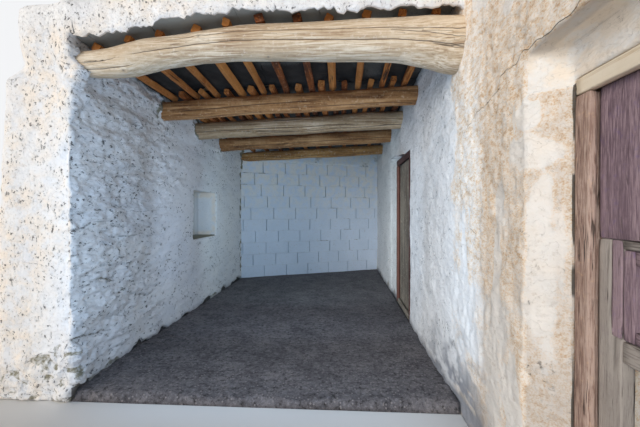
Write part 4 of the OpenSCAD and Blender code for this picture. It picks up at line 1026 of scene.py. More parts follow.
# %% Other walls of the room
side_high = box("room_side_wall")[1]
into = 0.05
xs = lines((room_wall_t - into, 0.05), (side_high[0] - porch_right - room_wall_t, 0.05),
           (side_high[0] - porch_right - rim_t, 0.05), (side_high[0] - porch_right, 0.05))
ys = lines((y_front, 0.05), (y_front + rim_t, 0.05), (y_front + room_wall_t, 0.05),
           (y_rear - room_wall_t, 0.05), (y_rear - rim_t, 0.05), (y_rear, 0.05))
zs = lines((-floor_z, 0.045), (ledge_z, 0.045), (top_z, 0.03))
cx, cy, cz = middles(xs, ys, zs)
x_in, x_rim, x_out = xs[-1] - room_wall_t, xs[-1] - rim_t, xs[-1]
solid = (cx > x_in) | (cy < y_front + room_wall_t) | (cy > y_rear - room_wall_t)
solid &= (cz < ledge_z) | (cx > x_rim) | (cy < y_front + rim_t) | (cy > y_rear - rim_t)
p, q = skin(xs, ys, zs, solid)
x, y, z = p.T
for corner_y, way in ((y_front, 1), (y_rear, -1)):
    x, y = round_edge(x, y, x_out, corner_y, -1, way, 0.11)
    y, z = round_edge(y, z, corner_y, top_z, way, -1, 0.07)
x, z = round_edge(x, z, x_out, top_z, -1, -1, 0.07)
p = relax(np.stack([x, y, z], 1), q, 1)
n = normals(p, q)
x, y, z = p.T
lumps = rough(p, 0.3, 3, seed=71)
d = 9 * MM * swell(p, 0.7, 72) + 5 * MM * lumps - 8 * MM
p = push_out(p, n, d)
ochre, rusty = outer_coats(p)
within = (p[:, 0] < x_in + 0.06) & (p[:, 1] > y_front + room_wall_t - 0.02) \
    & (p[:, 1] < y_rear - room_wall_t + 0.02)
ochre = np.where(within, 0.0, ochre)
dust = 0.8 * np.exp(-((z + floor_z) / 0.10) ** 2)
p = in_box(p + (porch_right, front_y, floor_z))
room_walls = make_piece("room_walls", p, q, house_lime, ochre=ochre, dust=dust,
                        rust=np.where(within, 0.0, rusty),
                        hollow=np.clip(-0.5 * lumps - 0.1, 0, 1))
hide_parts("room_front_wall", "room_side_wall", "room_rear_wall")
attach(room_walls, "house")
print("room walls:", triangles(room_walls), "triangles")

# %% [markdown]
# Floors: trodden earth with grit in it, swept smooth along the middle and
# loose along the walls. The porch floor breaks off raggedly at its open
# front. Grit is drawn as round cells about 13 mm wide in the material.

# %% Packed earth
def earth(name, dark, light, grit):
    """Trodden earth with grit in its loose places."""
    material, tree, shader = new_material(name, 0.95)
    place = add(tree, "ShaderNodeTexCoord", out="Object")
    broad = add(tree, "ShaderNodeTexNoise", {"Vector": place, "Scale": 5.5, "Detail": 9.0,
                                             "Roughness": 0.8})
    fine = add(tree, "ShaderNodeTexNoise", {"Vector": place, "Scale": 32.0, "Detail": 7.0,
                                            "Roughness": 0.82})
    patch = add(tree, "ShaderNodeValToRGB", {0: broad},
                stops=[(0.30, dark), (0.50, light), (0.76, grit)])
    speck = add(tree, "ShaderNodeValToRGB", {0: fine}, stops=[(0.38, WHITE), (0.49, BLACK)])
    patch = add(tree, "ShaderNodeMix", {0: speck, 6: patch, 7: "#272322"}, out=2, data_type="RGBA")
    speck = add(tree, "ShaderNodeValToRGB", {0: fine}, stops=[(0.54, BLACK), (0.66, "#B0B0B0")])
    colour = add(tree, "ShaderNodeMix", {0: speck, 6: patch, 7: "#A19D9E"}, out=2, data_type="RGBA")
    stones = add(tree, "ShaderNodeTexVoronoi", {"Vector": place, "Scale": 55.0})
    pebble = add(tree, "ShaderNodeValToRGB", {0: stones}, stops=[(0.30, WHITE), (0.42, BLACK)])
    lot = add(tree, "ShaderNodeSeparateColor", {0: stones.node.outputs["Color"]})
    few = add(tree, "ShaderNodeValToRGB", {0: lot}, stops=[(0.74, BLACK), (0.80, WHITE)])
    loose = add(tree, "ShaderNodeAttribute", out="Fac", attribute_name="loose")
    loose = add(tree, "ShaderNodeMath", {0: broad, 1: 1.6, 2: loose}, operation="MULTIPLY_ADD")
    loose = add(tree, "ShaderNodeValToRGB", {0: loose}, stops=[(0.75, BLACK), (1.0, WHITE)])
    pebble = add(tree, "ShaderNodeMath", {0: pebble, 1: few}, operation="MULTIPLY")
    pebble = add(tree, "ShaderNodeMath", {0: pebble, 1: loose}, operation="MULTIPLY")
    colour = add(tree, "ShaderNodeMix", {0: pebble, 6: colour, 7: grit}, out=2, data_type="RGBA")
    heap = add(tree, "ShaderNodeAttribute", out="Fac", attribute_name="heap")
    heap = add(tree, "ShaderNodeMath", {0: fine, 1: 1.6, 2: heap}, operation="MULTIPLY_ADD")
    heap = add(tree, "ShaderNodeValToRGB", {0: heap}, stops=[(1.05, BLACK), (1.5, "#D0D0D0")])
    colour = add(tree, "ShaderNodeMix", {0: heap, 6: colour, 7: "#261F1C"}, out=2, data_type="RGBA")
    tree.links.new(colour, shader.inputs["Base Color"])
    height = add(tree, "ShaderNodeMath", {0: pebble, 1: 0.9, 2: fine}, operation="MULTIPLY_ADD")
    bump = add(tree, "ShaderNodeBump", {"Height": height, "Distance": 7 * MM, "Strength": 1.0})
    tree.links.new(bump, shader.inputs["Normal"])
    return material


floor_earth = earth("trodden_grey_earth", "#3D393A", "#635E5F", "#857E7C")
roof_earth = earth("dry_roof_earth", "#8B7558", "#A08A6C", "#B9A88F")

# %% Floors
skew = box("porch_floor")[1][1] - front_y - porch_d
xs = lines((0, 0.02), (porch_w, 0.02))
ys = lines((0, 0.016), (1.0, 0.022), (porch_d, 0.045))
p, q = skin(xs, ys, np.array([-floor_z, -0.03, 0.0]), np.ones((len(xs) - 1, len(ys) - 1, 2), bool))
x, y, z = p.T
y = y * (1 + skew * x / porch_w / porch_d)
upper = z > -floor_z + 0.01
front_edge = 0.026 + 0.034 * rough(np.stack([x, 0 * x, 0 * x], 1), 0.4, 5, seed=80, keep=0.6)
y = np.where(upper, np.maximum(y, 0) + np.clip(front_edge, 0.002, 0.07) * np.exp(-y / 0.07)
             * np.where(z > -0.01, 1.6, 1.0), y)
p = np.stack([x, y, z], 1)
wander = rough(p, 0.45, 4, seed=81)
side = np.minimum(x, porch_w - x)
loose = np.exp(-side / 0.10) + np.exp(-y / 0.22)
rise = 4 * MM * wander + loose * (7 * MM * ease(0, 1, rough(p, 0.07, 3, seed=82) + 0.4))
# dark gravel fell from the left wall's foot
heap = ease(0.62, 0.05, x + 0.25 * rough(p, 0.2, 3, seed=85)) * ease(0.10, 0.5, y) * ease(1.7, 0.9,
                                                                                          y)
rise += heap * MM * (10 + 8 * rough(p, 0.05, 2, seed=86))
rise -= 12 * MM * np.exp(-y / 0.04)
rise -= 10 * MM * np.exp(-((x - 1.2) / 0.5) ** 2) * ease(3.6, 0.5, y)
door_side = (x > porch_w - 0.3) & (y > iy0 - 0.2) & (y < iy1 + 0.2)
rise = np.where(door_side, np.minimum(rise, 0), rise)
p[:, 2] += np.where(z > -0.01, rise, np.where(upper, 0.3 * rise, 0))
p = p + (porch_left, front_y, floor_z)
p[:, 2] = np.maximum(p[:, 2], 0.0005)
porch_floor = make_piece("porch_floor_earth", in_box(p), q, floor_earth, loose=np.clip(loose, 0, 1),
                         heap=heap)
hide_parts("porch_floor")
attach(porch_floor, "house")

room_in_low, room_in_high = box("room_floor")
xs = lines((0, 0.05), (room_in_high[0] - porch_right, 0.06))
ys = lines((room_in_low[1] - front_y, 0.06), (fy0, 0.06), (fy1, 0.06), (iy0, 0.06), (iy1, 0.06),
           (room_in_high[1] - front_y, 0.06))
xs = np.unique(np.r_[xs, recess, room_wall_t])
cx, cy, cz = middles(xs, ys, np.array([-floor_z, 0.0]))
solid = cx > room_wall_t
solid |= (cy > iy0) & (cy < iy1) & (cx > 0)
solid |= (cy > fy0) & (cy < fy1) & (cx > recess)
p, q = skin(xs, ys, np.array([-floor_z, 0.0]), solid)
rise = -3 * MM + 2.5 * MM * rough(p, 0.5, 3, seed=84)
p[:, 2] += np.where(p[:, 2] > -0.01, np.minimum(rise, 0), 0)
room_floor = make_piece("room_floor_earth", p + (porch_right, front_y, floor_z), q, floor_earth,
                        loose=0 * rise + 0.2)
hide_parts("room_floor")
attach(room_floor, "house")
print("floors:", triangles(porch_floor) + triangles(room_floor), "triangles")

# %% [markdown]
# Timber that stood in the weather is grey and brown, with fibres along its
# length, one or two millimetres wide, and dark checks where it dried. The material
# stretches a noise along the grain, so each piece needs to say which way its
# grain runs. Values stored at the points darken the shakes and tell pale
# broken ends from old faces.

# %% Timber material
def timber(name, dark, mid, light, wash="#E0D8CA", fibre=1.6, checks=0.35, strength=0.8,
           roughness=0.86, stretch=40, flaky=0.2):
    """Weathered timber. The grain runs along the first number of the stored
    place "grain"; fibre is the width of a fibre in mm, stretch its length in
    widths, and flaky the share of its skin that is blotched."""
    material, tree, shader = new_material(name, roughness)
    place = add(tree, "ShaderNodeAttribute", out="Vector", attribute_name="grain")
    stored = {key: add(tree, "ShaderNodeAttribute", out="Fac", attribute_name=key)
              for key in ("tone", "shake", "split", "washed")}
    wave = add(tree, "ShaderNodeTexNoise", {"Vector": place, "Scale": 6.0, "Detail": 2.0},
               out="Color")
    bent = add(tree, "ShaderNodeMix", {0: 0.012, 4: place, 5: wave}, out=1, data_type="VECTOR")
    across = 1 / (fibre * 6 * MM)
    drawn = add(tree, "ShaderNodeMapping",
                {"Vector": bent, "Scale": (across / stretch, across, across)})
    fibres = add(tree, "ShaderNodeTexNoise", {"Vector": drawn, "Scale": 1.0, "Detail": 7.0,
                                              "Roughness": 0.62})
    splits = add(tree, "ShaderNodeTexNoise", {"Vector": drawn, "Scale": 0.42, "Detail": 3.0})
    broad = add(tree, "ShaderNodeTexNoise", {"Vector": place, "Scale": 3.3, "Detail": 5.0,
                                             "Roughness": 0.6})
    tone = add(tree, "ShaderNodeMath", {0: stored["tone"], 1: 0.35, 2: fibres},
               operation="MULTIPLY_ADD")
    tone = add(tree, "ShaderNodeValToRGB", {0: tone},
               stops=[(0.36, dark), (0.49, mid), (0.62, light)])
    even = add(tree, "ShaderNodeValToRGB", {0: broad}, stops=[(0.35, BLACK), (0.80, WHITE)])
    colour = add(tree, "ShaderNodeMix", {0: even, 6: tone, 7: mid}, out=2, data_type="RGBA")
    # blotches 10 to 30 mm wide, pale and dark, where the skin of the log still clings
    skin_of_log = add(tree, "ShaderNodeTexNoise", {"Vector": place, "Scale": 34.0, "Detail": 5.0,
                                                   "Roughness": 0.75})
    blotch = add(tree, "ShaderNodeValToRGB", {0: skin_of_log}, stops=[(0.56, BLACK), (0.72, WHITE)])
    blotch = add(tree, "ShaderNodeMath", {0: blotch, 1: flaky}, operation="MULTIPLY")
    colour = add(tree, "ShaderNodeMix", {0: blotch, 6: colour, 7: wash}, out=2, data_type="RGBA")
    blotch = add(tree, "ShaderNodeValToRGB", {0: skin_of_log}, stops=[(0.30, WHITE), (0.44, BLACK)])
    blotch = add(tree, "ShaderNodeMath", {0: blotch, 1: 0.8 * flaky}, operation="MULTIPLY")
    colour = add(tree, "ShaderNodeMix", {0: blotch, 6: colour, 7: dark}, out=2, data_type="RGBA")
    # limewash or a fresh break lies thinly where the mesh says so
    laid = add(tree, "ShaderNodeMath", {0: broad, 1: 1.2, 2: stored["washed"]},
               operation="MULTIPLY_ADD")
    laid = add(tree, "ShaderNodeValToRGB", {0: laid}, stops=[(1.15, BLACK), (1.5, WHITE)])
    colour = add(tree, "ShaderNodeMix", {0: laid, 6: colour, 7: wash}, out=2, data_type="RGBA")
    line = add(tree, "ShaderNodeValToRGB", {0: splits}, stops=[(0.30, WHITE), (0.345, BLACK)])
    line = add(tree, "ShaderNodeMath", {0: line, 1: min(1.0, 2 * checks)}, operation="MULTIPLY")
    check = add(tree, "ShaderNodeMath", {0: line, 1: stored["shake"]}, operation="MAXIMUM")
    # a long shake is a line 5 mm wide; the mesh stores how far away it is
    far = add(tree, "ShaderNodeMath", {0: stored["split"]}, operation="ABSOLUTE")
    long_shake = add(tree, "ShaderNodeMapRange", {0: far, 1: 0.6 * MM, 2: 3.6 * MM, 3: 0.9, 4: 0.0})
    is_near = add(tree, "ShaderNodeMath", {0: far, 1: 0.0}, operation="GREATER_THAN")
    long_shake = add(tree, "ShaderNodeMath", {0: long_shake, 1: is_near}, operation="MULTIPLY")
    check = add(tree, "ShaderNodeMath", {0: check, 1: long_shake}, operation="MAXIMUM")
    darkened = add(tree, "ShaderNodeMath", {0: check, 1: 0.9}, operation="MULTIPLY")
    colour = add(tree, "ShaderNodeMix", {0: darkened, 6: colour, 7: "#2A211B"}, out=2,
                 data_type="RGBA")
    tree.links.new(colour, shader.inputs["Base Color"])
    height = add(tree, "ShaderNodeMath", {0: check, 1: -1.1, 2: fibres}, operation="MULTIPLY_ADD")
    bump = add(tree, "ShaderNodeBump", {"Height": height, "Distance": 2.2 * MM,
                                        "Strength": strength})
    tree.links.new(bump, shader.inputs["Normal"])
    return material


lintel_wood = timber("bleached_lintel_log", "#96795C", "#C2AB8D", "#E2D3BC", wash="#F0E8DA",
                     fibre=1.6, checks=0.05, strength=1.0, stretch=26, flaky=0.45)
beam_woods = [
    timber("brown_log", "#6E4526", "#AC7A4A", "#D2A270", wash="#E0BE98", fibre=2.4, flaky=0.9),
    timber("grey_log", "#7A5E42", "#B0936F", "#D8C0A0", fibre=2.2, flaky=0.6),
    timber("dark_brown_log", "#5C3A20", "#9C6C40", "#C4986A", wash="#D0A880", fibre=2.2, flaky=0.8),
    timber("yellow_brown_log", "#604020", "#A87844", "#CCA068", fibre=2.2, flaky=0.7),
]


# %% [markdown]
# A log is lofted along the rings of its CAD solid, so it keeps that bow and
# thickness. Around these it gets flats, swellings and knots, and long shakes
# that are cut in as grooves, because they throw shadows. Each shake is a line
# from one place and angle to another, with a width and a depth.

# %% Logs
def rings_of(node):
    """Places along x, centres and radii of a CAD log's rings."""
    points = np.array([v.co for v in nodes[node].data.vertices])
    out = []
    for x in np.unique(np.round(points[:, 0], 4)):
        ring = points[np.abs(points[:, 0] - x) < 2e-4]
        low, high = ring.min(0), ring.max(0)
        if high[2] - low[2] > 0.05:
            out.append((x, (low[1] + high[1]) / 2, (low[2] + high[2]) / 2, (high[2] - low[2]) / 2))
    return np.array(out)

# %% Skin of a log
def log_surface(rings, around, step, shakes=(), knots=(), lump=6.0, seed=0):
    """Points, faces and stored values of a log along x."""
    x = np.arange(rings[0, 0], rings[-1, 0] + step / 2, step)
    x[-1] = rings[-1, 0]
    centre_y, centre_z, radius = (np.interp(x, rings[:, 0], rings[:, i]) for i in (1, 2, 3))
    # the kinks of the CAD rings are eased
    for line in (centre_z, radius):
        for _ in range(6):
            line[1:-1] = (line[:-2] + 2 * line[1:-1] + line[2:]) / 4
    angle = np.arange(around) / around * 2 * np.pi
    gx, ga = np.meshgrid(x, angle, indexing="ij")
    r = np.repeat(radius[:, None], around, 1)
    unit = np.stack([0.9 * gx, r * np.cos(ga), r * np.sin(ga)], -1).reshape(-1, 3)
    flat = (unit / (2.4, 1, 1))
    d = lump * MM * (0.8 * swell(flat, 0.16, seed) + 0.45 * swell(flat, 0.07, seed + 1)) \
        + 1.3 * MM * rough(unit / (9, 1, 1), 0.018, 2, seed + 2)
    d = d.reshape(r.shape) - 0.5 * lump * MM
    shake = np.zeros(r.shape)
    split = np.full(r.shape, 0.5)
    wander = 0.025 * swell(np.stack([gx, 0 * gx, 0 * gx], -1).reshape(-1, 3), 0.16, seed + 5)
    wander = wander.reshape(r.shape) + 0.012 * swell(
        np.stack([gx, 0 * gx, 0 * gx], -1).reshape(-1, 3), 0.03, seed + 6).reshape(r.shape)
    for x0, x1, a0, a1, width, depth in shakes:
        t = np.clip((gx - x0) / (x1 - x0), 0, 1)
        mid = np.radians(a0 + (a1 - a0) * t * t * (3 - 2 * t)) + wander
        off = ((ga - mid + np.pi) % (2 * np.pi) - np.pi) * r
        open_share = np.clip(np.minimum(gx - x0, x1 - gx) / 0.12, 0, 1) ** 0.6
        d -= 0.6 * depth * MM * np.exp(-(off / (1.4 * width * MM)) ** 2) * open_share
        off = off * 5 / width / np.maximum(open_share, 0.05)
        split = np.where(np.abs(off) < np.minimum(0.03, np.abs(split)), off, split)
    for kx, ka, size, height in knots:
        off = np.hypot(gx - kx, ((ga - np.radians(ka) + np.pi) % (2 * np.pi) - np.pi) * r) / size
        d += height * MM * (np.exp(-off ** 2) - 0.9 * np.exp(-(off / 0.35) ** 2))
        shake = np.maximum(shake, 0.7 * np.exp(-(off / 0.3) ** 2))
    r2 = r + d
    y = centre_y[:, None] + r2 * np.cos(ga)
    z = centre_z[:, None] + r2 * np.sin(ga)
    points = np.stack([gx, y, z], -1).reshape(-1, 3)
    count = len(x)
    i = np.arange(count - 1)[:, None] * around
    j = np.arange(around)[None, :]
    j2 = (j + 1) % around
    quads = np.stack([i + j, i + around + j, i + around + j2, i + j2], -1).reshape(-1, 4)
    quads = [list(f[::-1]) for f in quads.tolist()]
    values = np.stack([shake, split], -1).reshape(-1, 2)
    centres = np.stack([x, centre_y, centre_z], 1)
    return with_ends(points, quads, values, centres, around, seed)

# %% Ends of a log
def with_ends(points, quads, values, centres, around, seed):
    """Closes a log's open skin at both ends with two inner rings and a middle."""
    caps, extra, extra_values = [], [], []
    for row, flip in ((0, 1), (len(centres) - 1, -1)):
        ring = list(range(row * around, (row + 1) * around))
        for share in (0.8, 0.4):
            start = len(points) + len(extra)
            for k in range(around):
                pt = points[row * around + k].copy()
                pt[1:] = centres[row, 1:] + share * (pt[1:] - centres[row, 1:])
                pt[0] += flip * 3 * MM * lattice(np.array([k]), np.array([row]),
                                                 np.array([int(share * 10)]), seed)[0]
                extra.append(pt)
                extra_values.append((values[row * around + k, 0] * share, 0.5))
            new = list(range(start, start + around))
            for k in range(around):
                face = [ring[k], ring[(k + 1) % around], new[(k + 1) % around], new[k]]
                caps.append(face if flip > 0 else face[::-1])
            ring = new
        start = len(points) + len(extra)
        extra.append(centres[row])
        extra_values.append((0.6, 0.5))
        for k in range(around):
            face = [ring[k], ring[(k + 1) % around], start]
            caps.append(face if flip > 0 else face[::-1])
    points = np.concatenate([points, np.array(extra)])
    return points, quads + caps, np.concatenate([values, extra_values])


def outwards(piece):
    """Faces of a closed mesh turned outwards."""
    work = bmesh.new()
    work.from_mesh(piece.data)
    bmesh.ops.recalc_face_normals(work, faces=work.faces)
    work.to_mesh(piece.data)
    work.free()
    return piece


def from_left(rows, count):
    """Rows whose first numbers are counted from the porch's left side."""
    return [(*(porch_left + v for v in row[:count]), *row[count:]) for row in rows]


# %% Lintel log
LINTEL_SHAKES = [
    (0.62, 2.55, 157, 172, 5, 8), (0.40, 2.50, 190, 203, 6, 9),
    (1.98, 2.60, 178, 192, 4, 6), (2.15, 2.60, 206, 212, 4, 6),
    (0.02, 0.42, 226, 222, 5, 6), (0.05, 0.34, 196, 192, 4, 5),
    (1.0, 2.1, 276, 270, 6, 9), (0.4, 1.3, 120, 128, 5, 6),
]
LINTEL_KNOTS = [(0.83, 163, 0.024, 9), (0.34, 236, 0.030, 7), (1.25, 250, 0.028, 7)]
points, faces, cut = log_surface(rings_of("lintel_log"), 104, 0.0095, from_left(LINTEL_SHAKES, 2),
                                 from_left(LINTEL_KNOTS, 1), lump=8, seed=100)
lx = points[:, 0] - porch_left
splashes = ease(0.45, 0.75, rough(points / (2.2, 1, 1), 0.05, 2, seed=101))
washed = np.clip(0.7 * splashes * ease(-0.3, 0.5, swell(points, 0.4, 103)), 0, 1)
tone = 0.25 * swell(points / (3, 1, 1), 0.08, 102) + 0.12 * ease(1.2, 2.4, lx)
lintel = make_piece("lintel_log_weathered", points, faces, lintel_wood, shake=cut[:, 0],
                    split=cut[:, 1], washed=washed, tone=tone, grain=points)
outwards(lintel)
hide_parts("lintel_log")
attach(lintel, "house")
print("lintel:", triangles(lintel), "triangles")

# %% Beams
BEAM_SHAKES = [
    [(0.1, 1.5, 200, 188, 8, 12), (1.1, 2.5, 222, 240, 7, 10), (0.2, 1.1, 262, 250, 7, 9)],
    [(0.0, 1.9, 196, 205, 9, 14), (0.9, 2.6, 236, 226, 8, 12), (0.3, 2.2, 266, 274, 7, 8)],
    [(0.1, 2.3, 214, 200, 8, 12), (0.7, 1.9, 246, 252, 8, 10)],
    [(0.2, 2.2, 216, 226, 8, 12)],
]
BEAM_KNOTS = [
    [(1.55, 208, 0.030, 10), (0.95, 240, 0.024, 8), (2.05, 196, 0.026, 9)],
    [(0.7, 220, 0.028, 8), (1.75, 200, 0.024, 7)],
    [(1.2, 230, 0.028, 9), (1.9, 206, 0.026, 10)],
    [(0.9, 220, 0.026, 8)],
]
total = triangles(lintel)
for i, wood in enumerate(beam_woods):
    points, faces, cut = log_surface(rings_of(f"beam_{i + 1}"), 56, 0.017,
                                     from_left(BEAM_SHAKES[i], 2), from_left(BEAM_KNOTS[i], 1),
                                     lump=8, seed=110 + 10 * i)
    ends = ease(0.35, 0.02, np.minimum(points[:, 0] - porch_left, porch_right - points[:, 0]))
    washed = np.clip(0.25 * ends + 0.3 * rough(points / (2, 1, 1), 0.07, 3, seed=111 + i), 0, 1)
    beam = make_piece(f"beam_{i + 1}_weathered", points, faces, wood, shake=cut[:, 0],
                      split=cut[:, 1],
                      washed=washed, tone=0.3 * swell(points / (3, 1, 1), 0.09, 112 + i),
                      grain=points)
    outwards(beam)
    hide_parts(f"beam_{i + 1}")
    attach(beam, "house")
    total += triangles(beam)
print("lintel and beams:", total, "triangles")

# %% [markdown]
# Laths: split round wood, about 60 mm across, that turned orange-brown. Every
# span has ten or eleven of them. Geometry Nodes fit here, because the same
# rough stick is repeated along many lines: the tree takes the axes of the CAD
# laths as edges, sweeps a squarish profile with worn corners along each, turns
# it a little by chance and roughens it.

# %% Lath wood and lath lines
lath_wood = timber("split_lath", "#4A2610", "#A05620", "#D08A46", wash="#E0B090", fibre=2.0,
                   checks=0.6, strength=1.0, stretch=22, flaky=0.5)
hidden_lath_wood = timber("split_lath_in_the_dark", "#6E4222", "#A86C36", "#CC9258", fibre=1.8)


def axes_of(node):
    """The two ends of the axis of each stick of a CAD node."""
    ends = []
    for stick in solids_of(node):
        middle = (stick[:, 1].min() + stick[:, 1].max()) / 2
        ends.append([stick[stick[:, 1] < middle].mean(0), stick[stick[:, 1] > middle].mean(0)])
    return np.array(ends)


def lines_object(name, ends):
    """A mesh of loose edges, one for each stick."""
    mesh = bpy.data.meshes.new(name)
    points = ends.reshape(-1, 3)
    mesh.from_pydata(points.tolist(), [(i, i + 1) for i in range(0, len(points), 2)], [])
    piece = bpy.data.objects.new(name, mesh)
    bpy.context.scene.collection.objects.link(piece)
    return piece


print("laths of the first span:", len(axes_of("laths_1")))

# %% Node tree of the sticks
def geometry_tree(name, **inputs):
    """An empty node tree with these inputs, and the outputs that give them."""
    tree = bpy.data.node_groups.new(name, "GeometryNodeTree")
    for label, kind in {"Geometry": "Geometry", **inputs}.items():
        tree.interface.new_socket(label, in_out="INPUT", socket_type="NodeSocket" + kind)
    tree.interface.new_socket("Geometry", in_out="OUTPUT", socket_type="NodeSocketGeometry")
    return tree, add(tree, "NodeGroupInput").node.outputs


def stick_tree(name, material):
    """Sweeps a rough squarish profile along every edge of the input."""
    tree, given = geometry_tree(name, Width="Float", Corner="Float", Step="Float",
                                Roughness="Float", Seed="Int")
    curve = add(tree, "GeometryNodeMeshToCurve", {0: given["Geometry"]})
    curve = add(tree, "GeometryNodeResampleCurve", {"Curve": curve, "Length": given["Step"]},
                mode="LENGTH")
    stick = add(tree, "GeometryNodeCurveOfPoint")
    own = add(tree, "FunctionNodeRandomValue",
              {2: -1.0, 3: 1.0, "ID": stick, "Seed": given["Seed"]}, out=1, data_type="FLOAT")
    curve = add(tree, "GeometryNodeStoreNamedAttribute", {"Geometry": curve, "Name": "tone",
                                                          "Value": own},
                data_type="FLOAT", domain="POINT")
    turn = add(tree, "ShaderNodeMath", {0: own, 1: 0.55}, operation="MULTIPLY")
    curve = add(tree, "GeometryNodeSetCurveTilt", {"Curve": curve, "Tilt": turn})
    profile = add(tree, "GeometryNodeCurvePrimitiveQuadrilateral",
                  {"Width": given["Width"], "Height": given["Width"]})
    profile = add(tree, "GeometryNodeFilletCurve", {"Curve": profile, "Count": 1,
                                                    "Radius": given["Corner"]}, mode="POLY")
    other = add(tree, "FunctionNodeRandomValue", {2: 0.78, 3: 1.04, "ID": stick, "Seed": 77}, out=1,
                data_type="FLOAT")
    mesh = add(tree, "GeometryNodeCurveToMesh", {"Curve": curve, "Profile Curve": profile,
                                                 "Scale": other, "Fill Caps": True})
    place = add(tree, "GeometryNodeInputPosition")
    drawn = add(tree, "ShaderNodeVectorMath", {0: place, 1: (1.0, 0.16, 1.0)}, operation="MULTIPLY")
    noise = add(tree, "ShaderNodeTexNoise", {"Vector": drawn, "Scale": 26.0, "Detail": 2.0},
                out="Color")
    noise = add(tree, "ShaderNodeVectorMath", {0: noise, 1: (0.5, 0.5, 0.5)}, operation="SUBTRACT")
    shift = add(tree, "ShaderNodeVectorMath", {0: noise, "Scale": given["Roughness"]},
                operation="SCALE")
    mesh = add(tree, "GeometryNodeSetPosition", {"Geometry": mesh, "Offset": shift})
    mesh = add(tree, "GeometryNodeRealizeInstances", {0: mesh})
    mesh = add(tree, "GeometryNodeSetMaterial", {"Geometry": mesh, "Material": material})
    add(tree, "NodeGroupOutput", {0: mesh})
    return tree


def run_tree(piece, tree, **sizes):
    """Gives the tree its sizes, and turns what it makes into a plain mesh."""
    modifier = piece.modifiers.new("tree", "NODES")
    modifier.node_group = tree
    for socket in tree.interface.items_tree:
        if socket.in_out == "INPUT" and socket.name in sizes:
            modifier[socket.identifier] = sizes[socket.name]
    return apply_modifiers(piece)


# %% Laths
def make_sticks(node, material, step, seed, front=None):
    """The split sticks of one CAD node; front ends are pale, freshly split."""
    piece = lines_object(node + "_split", axes_of(node))
    run_tree(piece, stick_tree(node + "_tree", material), Width=56 * MM, Corner=6 * MM,
             Step=step, Roughness=11 * MM, Seed=seed)
    mesh = piece.data
    points = np.array([v.co for v in mesh.vertices])
    tone = np.zeros(len(points), np.float32)
    mesh.attributes["tone"].data.foreach_get("value", tone)
    ends = np.zeros(len(points))
    if front is not None:
        ends = ease(front + 0.028, front + 0.010, points[:, 1])
        cut_back = 0.022 * (1 + np.sin(41 * tone)) + 0.014 * (1 + rough(points, 0.03, 2, seed=seed))
        points[:, 1] += cut_back * ease(front + 0.12, front, points[:, 1])
        mesh.vertices.foreach_set("co", points.astype(np.float32).reshape(-1))
    grain = np.c_[points[:, 1] + 3 * tone, points[:, 0], points[:, 2] + tone]
    for key, values in (("washed", ends), ("shake", 0 * ends), ("grain", grain)):
        store(mesh, key, values)
    mesh.polygons.foreach_set("use_smooth", [len(p.vertices) < 5 for p in mesh.polygons])
    mesh.set_sharp_from_angle(angle=math.radians(38))
    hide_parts(node)
    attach(piece, "house")
    return triangles(piece)


lath_front = box("laths_1")[0][1]
count = make_sticks("laths_1", lath_wood, 0.025, 3, lath_front)
for number in (2, 3, 4):
    count += make_sticks(f"laths_{number}", lath_wood, 0.035, 3 + number)
count += make_sticks("room_laths", hidden_lath_wood, 0.15, 9)
print("laths:", count, "triangles")

# %% [markdown]
# Slates: rough slabs of dark slate, split along their cleavage, so that their
# faces step by a millimetre or two and their edges are ragged. Over the porch
# two layers lie on the laths, and the upper one covers the joints of the lower
# one; over the room there is one layer. Their undersides are nearly black; at
# the eave they are grey, partly dusty and partly painted light where light
# reaches the front of the undersides.

# %% Slate material
def slate_stone(name, dark, light, dusty):
    """Cleaved slate, grey where the mesh says so: dusty, and painted light at the eave."""
    material, tree, shader = new_material(name, 0.72)
    place = add(tree, "ShaderNodeTexCoord", out="Object")
    layers = add(tree, "ShaderNodeMapping", {"Vector": place, "Scale": (5.0, 5.0, 60.0)})
    cleaved = add(tree, "ShaderNodeTexNoise", {"Vector": layers, "Scale": 1.0, "Detail": 6.0,
                                               "Roughness": 0.65})
    fine = add(tree, "ShaderNodeTexNoise", {"Vector": place, "Scale": 120.0, "Detail": 3.0})
    colour = add(tree, "ShaderNodeValToRGB", {0: cleaved}, stops=[(0.35, dark), (0.68, light)])
    # grey at the eave: dusty, and painted light on the front of the undersides
    dust = add(tree, "ShaderNodeAttribute", out="Fac", attribute_name="dust")
    dust = add(tree, "ShaderNodeMath", {0: fine, 1: 0.5, 2: dust}, operation="MULTIPLY_ADD")
    dust = add(tree, "ShaderNodeValToRGB", {0: dust}, stops=[(0.40, BLACK), (1.2, "#D0D0D0")])
    colour = add(tree, "ShaderNodeMix", {0: dust, 6: colour, 7: dusty}, out=2, data_type="RGBA")
    tree.links.new(colour, shader.inputs["Base Color"])
    steps = add(tree, "ShaderNodeMath", {0: cleaved, 1: 0.09}, operation="SNAP")
    height = add(tree, "ShaderNodeMath", {0: fine, 1: 0.15, 2: steps}, operation="MULTIPLY_ADD")
    bump = add(tree, "ShaderNodeBump", {"Height": height, "Distance": 5 * MM, "Strength": 0.7})
    tree.links.new(bump, shader.inputs["Normal"])
    return material


slate = slate_stone("cleaved_roof_slate", "#1D1C1B", "#3E3A36", "#CBCBC2")


# %% Slates
def gather(parts):
    """Sets of points, faces and values as one set."""
    start, points, faces, values = 0, [], [], []
    for p, f, v in parts:
        points.append(p)
        faces.extend([[i + start for i in face] for face in f])
        values.append(v)
        start += len(p)
    return np.concatenate(points), faces, np.concatenate(values)

